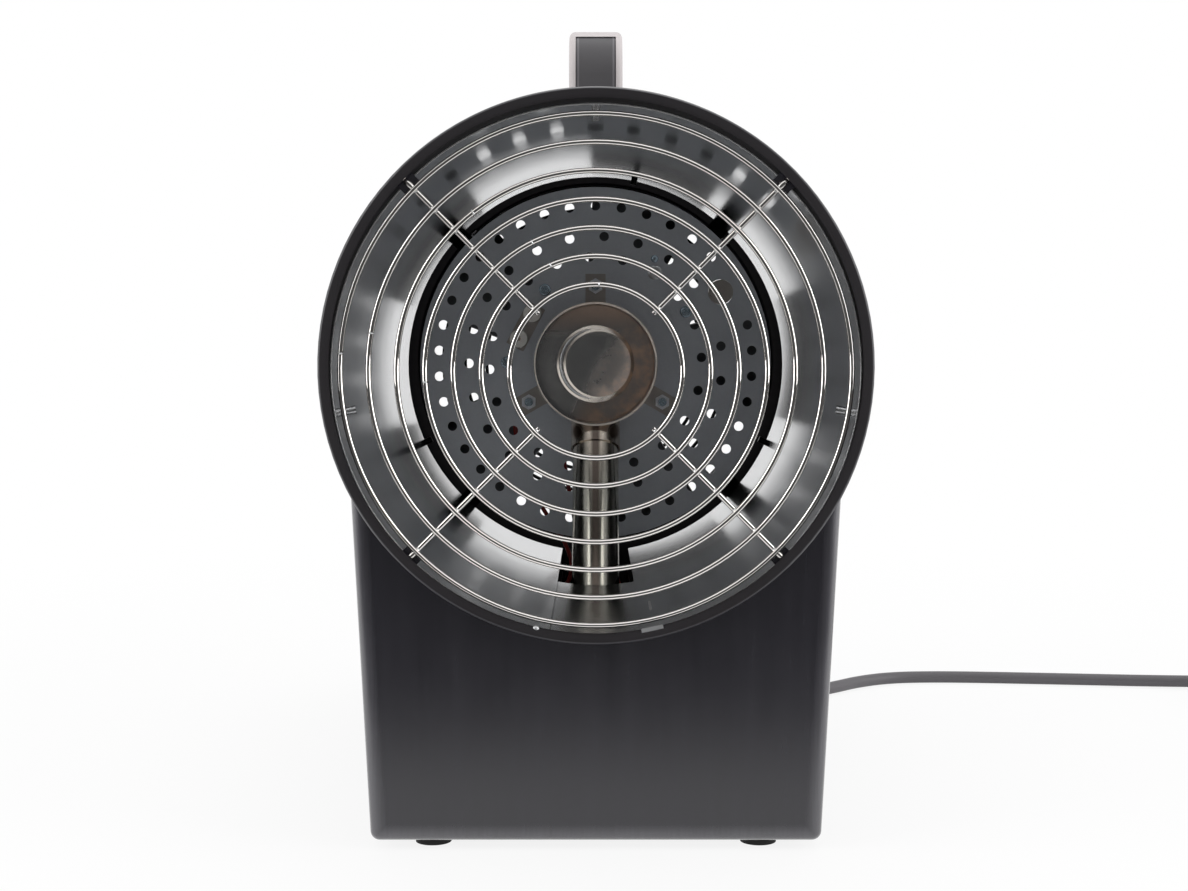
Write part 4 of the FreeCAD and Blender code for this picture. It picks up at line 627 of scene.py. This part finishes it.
def plate_sheet():
    """Dull sheet of the flame plate, with faint smoke and fine rolling grain."""
    finish = Finish("plate_sheet", metallic=1.0)
    clouds = finish.noise(30.0, 5.0, 0.6)
    fine = finish.noise(700.0, 3.0)
    finish.set("Base Color", finish.tint(hues().plate_steel, 0.86 + clouds * 0.20 + fine * 0.10))
    finish.set("Roughness", 0.42 + clouds * 0.14)
    finish.bump(fine, 0.00002, 0.4)
    return finish.material


def tinted_burner():
    """Burnt burner steel: dark, with patches of bronze heat scale to one side, made pale there as a painted
    highlight, and bronze tint above.
    """
    finish = Finish("tinted_burner")
    x, _, z = finish.axes()
    clouds = finish.noise(60.0, 4.0, 0.6)
    turned = finish.noise(500.0, 2.0)
    # Painted highlight, in part: the bronze on the lower right is heat tint made pale, rough and half matt to
    # stand for light it reflects
    side_tint_and_highlight = finish.fade(x * TINT_AND_HIGHLIGHT_LEAN.x + (z - CUP_AXIS) * TINT_AND_HIGHLIGHT_LEAN.z, *TINT_AND_HIGHLIGHT_SIDE)
    patches = finish.fade(clouds, 0.38, 0.62)
    above = finish.fade(z, *FLAME_ABOVE)
    bronze_tint_and_highlight = (side_tint_and_highlight * (0.30 + patches * 0.70)).most(above * 0.75)
    burnt = finish.mix(bronze_tint_and_highlight, hues().burnt_steel, hues().heat_bronze)
    finish.set("Base Color", finish.tint(burnt, 0.84 + clouds * 0.26 + turned * 0.06))
    finish.set("Roughness", 0.16 + clouds * 0.10 + bronze_tint_and_highlight * 0.50)
    finish.set("Metallic", 1.0 - bronze_tint_and_highlight * 0.75)
    return finish.material


def tube_sheet():
    """Stainless mixing tube with a brown stripe down its front as a painted dark reflection, and brown dents
    on both sides of its collar.
    """
    finish = Finish("tube_sheet", metallic=1.0)
    x, _, z = finish.axes()
    drawn = finish.noise(300.0, 4.0, 0.6, (1.0, 0.12, 0.12))
    clouds = finish.noise(40.0, 3.0)
    aside = (abs(x) - COLLAR_DENT.x) / DENT_NARROWING
    dent = 1.0 - finish.fade(finish.distance(aside, z - COLLAR_DENT.z), *DENT_SIZE)
    straw = finish.mix(finish.fade(z, *STRAW_TINT) * 0.35, hues().tube_steel, hues().heat_bronze)
    # Painted reflection: the brown stripe down the tube's front stands in for the dark reflection along it
    seam = 1.0 - finish.fade(abs(x), *TUBE_REFLECTION_STRIPE)
    reflection_striped = finish.mix(seam * 0.9, straw, hues().reflection_brown)
    hue = finish.mix(dent * 0.85, reflection_striped, hues().dent_brown)
    finish.set("Base Color", finish.tint(hue, 0.88 + drawn * 0.16 + clouds * 0.08))
    finish.set("Roughness", 0.10 + drawn * 0.06 + clouds * 0.05 + dent * 0.15)
    finish.bump(0.0 - dent, 0.0002, 0.4)
    return finish.material


def grooved_inlay():
    """Dark inlay of the handle with a groove along each side, painted pale as a highlight."""
    finish = Finish("grooved_inlay", specular_ior_level=0.4)
    pebbles = finish.noise(1400.0, 2.0)
    clouds = finish.noise(60.0, 4.0)
    highlight_groove = 1.0 - finish.fade(abs(abs(finish.axes()[0]) - INLAY_HIGHLIGHT_GROOVE), *INLAY_GROOVE_WIDTH)
    # Painted highlight: the grooves are coloured pale for the light their edges catch
    shade = 0.90 + clouds * 0.16 + pebbles * 0.06 + highlight_groove * 0.9
    finish.set("Base Color", finish.tint(hues().inlay_plastic, shade))
    finish.set("Roughness", 0.48 + clouds * 0.10 - highlight_groove * 0.1)
    finish.bump(pebbles + highlight_groove * 4.0, 0.00005, 0.6)
    return finish.material


def piece(name, shape, material, body=BODY):
    """Turn a bmesh into a piece of the heater that rides on a body."""
    bmesh.ops.recalc_face_normals(shape, faces=shape.faces)
    mesh = bpy.data.meshes.new(name)
    shape.to_mesh(mesh)
    shape.free()
    mesh.materials.append(material)
    mesh.shade_smooth()
    mesh.set_sharp_from_angle(angle=SHARP)
    made = bpy.data.objects.new(name, mesh)
    bpy.context.scene.collection.objects.link(made)
    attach(made, body)


def laid(place, size, turn):
    """Where a shape of width, depth and height one lies: its place, its size and its turn about the drum."""
    return Matrix.Translation(place) @ Matrix.Rotation(turn, 4, "Y") @ Matrix.Diagonal((*size, 1.0))


def blob(shape, place, size, turn=0.0):
    """A rounded bead: its width, depth and height, turned about the drum's own direction."""
    bmesh.ops.create_uvsphere(shape, u_segments=16, v_segments=10, radius=0.5,
                              matrix=laid(place, size, turn))


def on_ring(centre, radius, degrees, depth):
    """A place round a level axis along Y, seen from the mouth, at a depth behind the drum's front edge."""
    angle = math.radians(degrees)
    return Vector((centre.x + radius * math.cos(angle), FRONT + depth, centre.z + radius * math.sin(angle)))


def hoop(name, node, ring, material):
    """A piece that is a closed round ring about a CAD node's level axis: its radius, thickness and depth."""
    radius, thickness, depth = ring
    centre = middle(node)
    shape = bmesh.new()
    start = Matrix.Translation(on_ring(centre, radius, 0.0, depth))
    section = bmesh.ops.create_circle(shape, segments=12, radius=thickness / 2.0, matrix=start)["verts"]
    edges = list({edge for vert in section for edge in vert.link_edges})
    bmesh.ops.spin(shape, geom=section + edges, cent=on_ring(centre, 0.0, 0.0, depth), axis=(0.0, 1.0, 0.0),
                   angle=2.0 * math.pi, steps=RING_STEPS, use_merge=True)
    bmesh.ops.remove_doubles(shape, verts=shape.verts, dist=0.000001)
    piece(name, shape, material)


def ringed(shape, loops):
    """A sheet drawn between round loops about level axes along Y: each with its centre, radius and depth."""
    turns = [360.0 * step / RING_STEPS for step in range(RING_STEPS)]
    rows = [[shape.verts.new(on_ring(centre, radius, degrees, depth)) for degrees in turns]
            for centre, radius, depth in loops]
    for row, after in zip(rows, rows[1:]):
        for step in range(RING_STEPS):
            shape.faces.new((row[step - 1], row[step], after[step], after[step - 1]))


def dome(name, node, spot, depth, material):
    """A low dome that faces the mouth: its radius and angle about a CAD node, its diameter and height."""
    radius, degrees, diameter, height = spot
    shape = bmesh.new()
    blob(shape, on_ring(middle(node), radius, degrees, depth), (diameter, 2.0 * height, diameter))
    piece(name, shape, material)


def block(size, place, turn=0.0):
    """A box of a width, depth and height, turned about the drum's own direction."""
    shape = bmesh.new()
    bmesh.ops.create_cube(shape, size=1.0, matrix=laid(place, size, turn))
    return shape


def rim_tab(steel):
    """The tab on the drum's front edge."""
    radius, degrees, size = RIM_TAB
    place = on_ring(middle("drum"), radius, degrees, size[1])
    piece("rim_tab", block(size, place, -math.radians(degrees + 90.0)), steel)


def front_ring():
    """The black ring that closes the gap between the drum and the chamber."""
    ring = bmesh.new()
    ringed(ring, [(middle("drum"), DRUM_BORE, FRONT_RING),
                  (middle("combustion_chamber"), CHAMBER_OUTSIDE, FRONT_RING)])
    piece("front_ring", ring, coat("ring_coat", hues().dusty_coat, rough=0.5))


class HEATER_OT_casing(bpy.types.Operator):
    """Coat the drum, the base and what belongs to them, and add the drum's edges, tab and bolt"""

    bl_idname = "heater.casing"
    bl_label = "Casing"

    def execute(self, context):
        dress(drum_coat(), "drum")
        dress(coat("saddle_coat", hues().black_coat), "drum_saddles")
        hoop("rear_edge", "drum", REAR_EDGE, coat("edge_coat", hues().black_coat, rough=0.38))
        front_ring()
        steel = metal("rim_steel_dull", hues().zinc, 0.45)
        rim_tab(steel)
        dome("rim_bolt", "drum", RIM_BOLT, RIM_BOLT_DEPTH, steel)
        dress(base_coat(), "base_shell")
        dress(coat("panel_coat", hues().black_coat, 0.5), "rear_panel")
        dress(coat("clip_coat", hues().black_coat), "guard_clips")
        dress(metal("blackened_screws", hues().rubber, 0.40), "panel_screws", "saddle_screws")
        return {"FINISHED"}


class HEATER_OT_chamber(bpy.types.Operator):
    """Polish the combustion chamber and add its bright lip"""

    bl_idname = "heater.chamber"
    bl_label = "Combustion chamber"

    def execute(self, context):
        sheet = polished_sheet()
        dress(sheet, "combustion_chamber")
        hoop("chamber_lip", "combustion_chamber", CHAMBER_LIP, sheet)
        dress(chamber_screw_steel(), "chamber_screws")
        return {"FINISHED"}


def guard_welds(axis):
    """Beads where the guard's rings cross its spokes and where each ring is closed."""
    rings = [GUARD_INNER + GUARD_STEP * number for number in range(GUARD_RINGS)]
    welds = bmesh.new()
    for radius in rings:
        for spoke in GUARD_SPOKES:
            blob(welds, on_ring(axis, radius, spoke, GUARD_JOIN), JOIN_BEAD)
    for radius, degrees in zip(rings, BUTT_WELDS):
        blob(welds, on_ring(axis, radius, degrees, GUARD_DEPTH), BUTT_BEAD, -math.radians(degrees))
    piece("guard_welds", welds, metal("weld_beads", hues().zinc, 0.30))


def guard_hooks(axis, wire):
    """The bent ends of the guard's spokes."""
    hooks = bmesh.new()
    for spoke in GUARD_SPOKES:
        for radius, reach in GUARD_HOOKS:
            size = (reach, HOOK_THICKNESS, HOOK_THICKNESS)
            blob(hooks, on_ring(axis, radius, spoke, HOOK_DEPTH), size, -math.radians(spoke))
    piece("guard_hooks", hooks, wire)


class HEATER_OT_guard(bpy.types.Operator):
    """Plate the wire guard and add its weld beads and hooks"""

    bl_idname = "heater.guard"
    bl_label = "Wire guard"

    def execute(self, context):
        wire = metal("plated_wire", hues().bright_wire, 0.04, spread=0.03, shade=0.10)
        dress(wire, "wire_guard")
        axis = middle("combustion_chamber")
        guard_welds(axis)
        guard_hooks(axis, wire)
        return {"FINISHED"}


class HEATER_OT_flame_plate(bpy.types.Operator):
    """Smoke the perforated flame plate and add its cover disc and rivet"""

    bl_idname = "heater.flame_plate"
    bl_label = "Flame plate"

    def execute(self, context):
        dress(plate_sheet(), "flame_plate")
        cover = metal("cover_disc", hues().zinc, 0.30)
        dome("plate_cover", "flame_plate", PLATE_COVER, PLATE_FRONT, cover)
        rivet = metal("rivet_steel", hues().blued_steel, 0.22)
        dome("plate_rivet", "flame_plate", PLATE_RIVET, PLATE_FRONT, rivet)
        return {"FINISHED"}


def cap_shoulder():
    """The bright shoulder round the burner cap's face."""
    shape = bmesh.new()
    ringed(shape, [(middle("burner_cap") + Vector((aside, 0.0, 0.0)), radius, CAP_FRONT + depth)
                   for aside, radius, depth in CAP_SHOULDER])
    steel = metal("shoulder_steel", hues().rim_steel, 0.20, spread=0.08)
    piece("cap_shoulder", shape, steel)


class HEATER_OT_burner(bpy.types.Operator):
    """Heat-tint the burner and its mixing tube, with a painted highlight on the burner and a painted dark
    reflection down the tube, and add the burner's rims
    """

    bl_idname = "heater.burner"
    bl_label = "Burner"

    def execute(self, context):
        dress(tinted_burner(), "burner_cup", "burner_cap")
        steel = metal("rim_steel", hues().rim_steel, 0.32, spread=0.08)
        hoop("cup_rim", "burner_cup", CUP_RIM, steel)
        cap_shoulder()
        dress(tube_sheet(), "mixing_tube", "tube_collar")
        return {"FINISHED"}


class HEATER_OT_fasteners(bpy.types.Operator):
    """Plate the screws, nuts and brackets"""

    bl_idname = "heater.fasteners"
    bl_label = "Fasteners and brackets"

    def execute(self, context):
        dress(metal("zinc_plate", hues().zinc, 0.42), *ZINC_NODES)
        dress(metal("bright_zinc", hues().bright_zinc, 0.52), "burner_nuts")
        dress(metal("sooty_steel", hues().rubber, 0.60), "plate_brackets")
        dress(metal("smoked_steel", hues().smoked_steel, 0.36), "burner_brackets", "sensor_bracket")
        dress(metal("blued_screws", hues().blued_steel, 0.22), "plate_screws", "burner_bolts")
        return {"FINISHED"}


class HEATER_OT_sensors(bpy.types.Operator):
    """Finish the electrode, the thermocouple and the thermostat"""

    bl_idname = "heater.sensors"
    bl_label = "Sensors"

    def execute(self, context):
        dress(metal("heat_dark_wire", hues().heat_bronze, 0.42), "ignition_electrode", "thermocouple")
        dress(moulded("glazed_ceramic", hues().ceramic, 0.25, 500.0, 0.00002), "sensor_insulators")
        dress(metal("pressed_alloy", hues().smoked_steel, 0.30, shade=0.5), "overheat_thermostat")
        return {"FINISHED"}


class HEATER_OT_inner_leads(bpy.types.Operator):
    """Sheathe the leads inside the base and the drum"""

    bl_idname = "heater.inner_leads"
    bl_label = "Inner leads"

    def execute(self, context):
        sheath = moulded("red_sheath", hues().red_sheath, 0.42, 900.0)
        dress(sheath, "ignition_lead", "thermocouple_lead", "motor_lead")
        return {"FINISHED"}


class HEATER_OT_blower(bpy.types.Operator):
    """Finish the fan, the motor and the rear grille"""

    bl_idname = "heater.blower"
    bl_label = "Fan, motor and grille"

    def execute(self, context):
        # The fan's very dark alloy makes the flame plate's holes show dark
        dress(metal("fan_sheet", hues().dark_fan_alloy, 0.42), "fan")
        dress(coat("motor_coat", hues().dark_plastic), "motor")
        dress(coat("grille_coat", hues().black_coat), "rear_grille")
        return {"FINISHED"}


class HEATER_OT_gas_train(bpy.types.Operator):
    """Finish the gas inlet, the pipe, the valve and the injector"""

    bl_idname = "heater.gas_train"
    bl_label = "Gas fittings"

    def execute(self, context):
        brass = metal("turned_brass", hues().brass, 0.26, (1.0, 6.0, 1.0))
        dress(brass, "injector", "gas_inlet", "inlet_nut")
        dress(metal("drawn_copper", hues().copper, 0.26), "gas_pipe")
        dress(metal("cast_alloy", hues().cast_alloy, 0.46, scale=420.0), "gas_valve")
        return {"FINISHED"}


def knob_pointer(white):
    """The white mark on the control knob, which turns with it."""
    low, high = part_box("control_knob")
    pointer = block(POINTER, Vector(((low.x + high.x) / 2.0, high.y, high.z - POINTER.z)))
    bmesh.ops.bevel(pointer, geom=pointer.edges, offset=POINTER_ROUNDING, offset_type="OFFSET",
                    affect="EDGES", segments=2, profile=0.5, material=-1)
    piece("knob_pointer", pointer, white, "knob")


class HEATER_OT_controls(bpy.types.Operator):
    """Finish the knob with its pointer, the buttons, the switch, the gland and the terminal block"""

    bl_idname = "heater.controls"
    bl_label = "Controls"

    def execute(self, context):
        dark = moulded("dark_controls", hues().dark_plastic, 0.45)
        dress(dark, "control_knob", "power_switch", "cable_gland")
        black = moulded("black_gloss", hues().rubber, 0.28, 600.0, 0.00001)
        dress(black, "switch_rocker", "piezo_igniter")
        red = moulded("red_gloss", hues().red_plastic, 0.28, 600.0, 0.00001)
        dress(red, "safety_button", "igniter_button")
        white = moulded("white_block", hues().white_plastic, 0.5)
        dress(white, "terminal_block")
        knob_pointer(white)
        return {"FINISHED"}


class HEATER_OT_handle(bpy.types.Operator):
    """Grain the handle's bow and its inlays"""

    bl_idname = "heater.handle"
    bl_label = "Carrying handle"

    def execute(self, context):
        dress(moulded("grey_bow", hues().grey_plastic, 0.5), "handle_bow")
        dress(grooved_inlay(), "handle_inlays")
        return {"FINISHED"}


class HEATER_OT_feet(bpy.types.Operator):
    """Finish the rubber feet"""

    bl_idname = "heater.feet"
    bl_label = "Feet"

    def execute(self, context):
        dress(moulded("foot_rubber", hues().rubber, 0.75, 700.0, 0.00006), "rubber_feet")
        return {"FINISHED"}


class HEATER_OT_plug(bpy.types.Operator):
    """Finish the plug and the tie of the coil"""

    bl_idname = "heater.plug"
    bl_label = "Plug and tie"

    def execute(self, context):
        dress(moulded("plug_grey", hues().lead_grey, 0.5), "mains_plug")
        dress(moulded("tie_black", hues().dark_plastic, 0.5), "lead_tie")
        return {"FINISHED"}


# Half the floor's width, its drop below the feet, and the distances between which it fades out into the
# white round it
FLOOR_HALF = 6.0
FLOOR_DROP = 0.0002
FLOOR_FADE = (0.45, 1.1)
# The share of plain white in the floor near the heater; the rest of it is lit and holds the shadow
FLOOR_GLOW = 0.86
WHITE = (1.0, 1.0, 1.0)
# The studio is dark round the camera: half its width and height as seen from the heater, how far it reaches
# to the left, the share of it that is fully dark, how dark that is, and its edge on the camera's side
DARK_WIDTH = math.sin(math.radians(54.0))
DARK_HEIGHT = math.sin(math.radians(40.0))
DARK_SHIFT = 0.14
DARK_MIDDLE = 0.82
DARK_DEPTH = 0.93
DARK_SIDE = (0.0, 0.2)
# Where the floor before the heater begins and ends to darken, as its surfaces mirror it
DARK_FLOOR = (0.30, 0.58)
LAMP_TARGET = Vector((0.0, 0.0, 0.2))
# Name, place, width and power of each soft lamp
LAMPS = [
    ("key_lamp", (-1.7, -0.7, 0.75), 1.4, 15.0),
    ("fill_lamp", (1.7, -0.6, 0.75), 1.4, 15.0),
    ("top_lamp", (0.2, 0.5, 2.2), 1.4, 9.0),
]


def floor_finish():
    """Pale floor that shows white, keeps the heater's soft shadow and fades out into the white round it."""
    finish = Finish("studio_floor", specular_ior_level=0.0)
    finish.set("Base Color", studio().floor_colour)
    finish.set("Roughness", 1.0)
    x, y, _ = finish.axes()
    far = finish.fade(finish.distance(x, y), *FLOOR_FADE)
    dark = finish.fade(0.0 - y, *DARK_FLOOR) * finish.ray("Is Glossy Ray")
    glow = finish.tint(WHITE, 1.0 - dark * DARK_DEPTH)
    white = finish.node("ShaderNodeEmission", None, {"Color": glow, "Strength": 1.0})
    finish.cover(finish.seen() * (FLOOR_GLOW + far.most(dark) * (1.0 - FLOOR_GLOW)), white)
    return finish.material


def studio_floor(scene):
    """The floor under the heater, which belongs to the stage."""
    shape = bmesh.new()
    bmesh.ops.create_grid(shape, x_segments=1, y_segments=1, size=FLOOR_HALF,
                          matrix=Matrix.Translation((0.0, 0.0, FLOOR_LEVEL - FLOOR_DROP)))
    mesh = bpy.data.meshes.new("studio_floor")
    shape.to_mesh(mesh)
    shape.free()
    mesh.materials.append(floor_finish())
    floor = bpy.data.objects.new("studio_floor", mesh)
    scene.collection.objects.link(floor)


def soft_lamp(scene, name, place, width, power):
    """A wide lamp turned to the heater."""
    data = bpy.data.lights.new(name, "AREA")
    data.size = width
    data.energy = power
    lamp = bpy.data.objects.new(name, data)
    lamp.location = place
    lamp.rotation_euler = (LAMP_TARGET - Vector(place)).to_track_quat("-Z", "Y").to_euler()
    scene.collection.objects.link(lamp)


def studio_world():
    """White surroundings, which mirrors see dark round the camera."""
    world = bpy.data.worlds.new("studio_world")
    world.use_nodes = True
    nodes = Nodes(world.node_tree)
    background = world.node_tree.nodes["Background"]
    nodes.feed(background.inputs["Color"], WHITE)
    x, y, z = nodes.axes(nodes.node("ShaderNodeTexCoord", output="Generated"))
    off_middle = nodes.distance((x + DARK_SHIFT) / DARK_WIDTH, z / DARK_HEIGHT)
    round_camera = 1.0 - nodes.fade(off_middle, DARK_MIDDLE, 1.0)
    dark = round_camera * nodes.fade(0.0 - y, *DARK_SIDE) * nodes.ray("Is Glossy Ray")
    shown = nodes.seen() * (1.0 - studio().ambient)
    nodes.feed(background.inputs["Strength"], (studio().ambient + shown) * (1.0 - dark * DARK_DEPTH))
    return world


class HEATER_OT_stage(bpy.types.Operator):
    """Set up the floor, the soft lamps and the white surroundings"""

    bl_idname = "heater.stage"
    bl_label = "Stage"

    def execute(self, context):
        studio_floor(context.scene)
        for name, place, width, power in LAMPS:
            soft_lamp(context.scene, name, place, width, power)
        context.scene.world = studio_world()
        context.scene.view_settings.view_transform = "Standard"
        return {"FINISHED"}


class HEATER_PT_sidebar(bpy.types.Panel):
    """Lists the heater's operators and settings"""

    bl_idname = "HEATER_PT_sidebar"
    bl_label = "Gas space heater"
    bl_space_type = "VIEW_3D"
    bl_region_type = "UI"
    bl_category = "Heater"

    def draw(self, context):
        for operator in OPERATORS:
            self.layout.operator(operator.bl_idname)
        for group in (hues(), sizes(), studio()):
            box = self.layout.box()
            for name in group.bl_rna.properties.keys():
                if name not in {"rna_type", "name"}:
                    box.prop(group, name)


OPERATORS = [
    HEATER_OT_camera, HEATER_OT_mains_lead, HEATER_OT_casing, HEATER_OT_chamber, HEATER_OT_guard,
    HEATER_OT_flame_plate, HEATER_OT_burner, HEATER_OT_fasteners, HEATER_OT_sensors, HEATER_OT_inner_leads,
    HEATER_OT_blower, HEATER_OT_gas_train, HEATER_OT_controls, HEATER_OT_handle, HEATER_OT_feet,
    HEATER_OT_plug, HEATER_OT_stage,
]
CLASSES = [HeaterColours, HeaterSizes, HeaterStage, *OPERATORS, HEATER_PT_sidebar]


def register():
    for kind in CLASSES:
        bpy.utils.register_class(kind)
    bpy.types.Scene.heater_colours = PointerProperty(type=HeaterColours)
    bpy.types.Scene.heater_sizes = PointerProperty(type=HeaterSizes)
    bpy.types.Scene.heater_stage = PointerProperty(type=HeaterStage)


def unregister():
    del bpy.types.Scene.heater_stage
    del bpy.types.Scene.heater_sizes
    del bpy.types.Scene.heater_colours
    for kind in reversed(CLASSES):
        bpy.utils.unregister_class(kind)


def main():
    register()
    bpy.ops.heater.camera()
    bpy.ops.heater.mains_lead()
    bpy.ops.heater.casing()
    bpy.ops.heater.chamber()
    bpy.ops.heater.guard()
    bpy.ops.heater.flame_plate()
    bpy.ops.heater.burner()
    bpy.ops.heater.fasteners()
    bpy.ops.heater.sensors()
    bpy.ops.heater.inner_leads()
    bpy.ops.heater.blower()
    bpy.ops.heater.gas_train()
    bpy.ops.heater.controls()
    bpy.ops.heater.handle()
    bpy.ops.heater.feet()
    bpy.ops.heater.plug()
    bpy.ops.heater.stage()


if __name__ == "__main__":
    main()
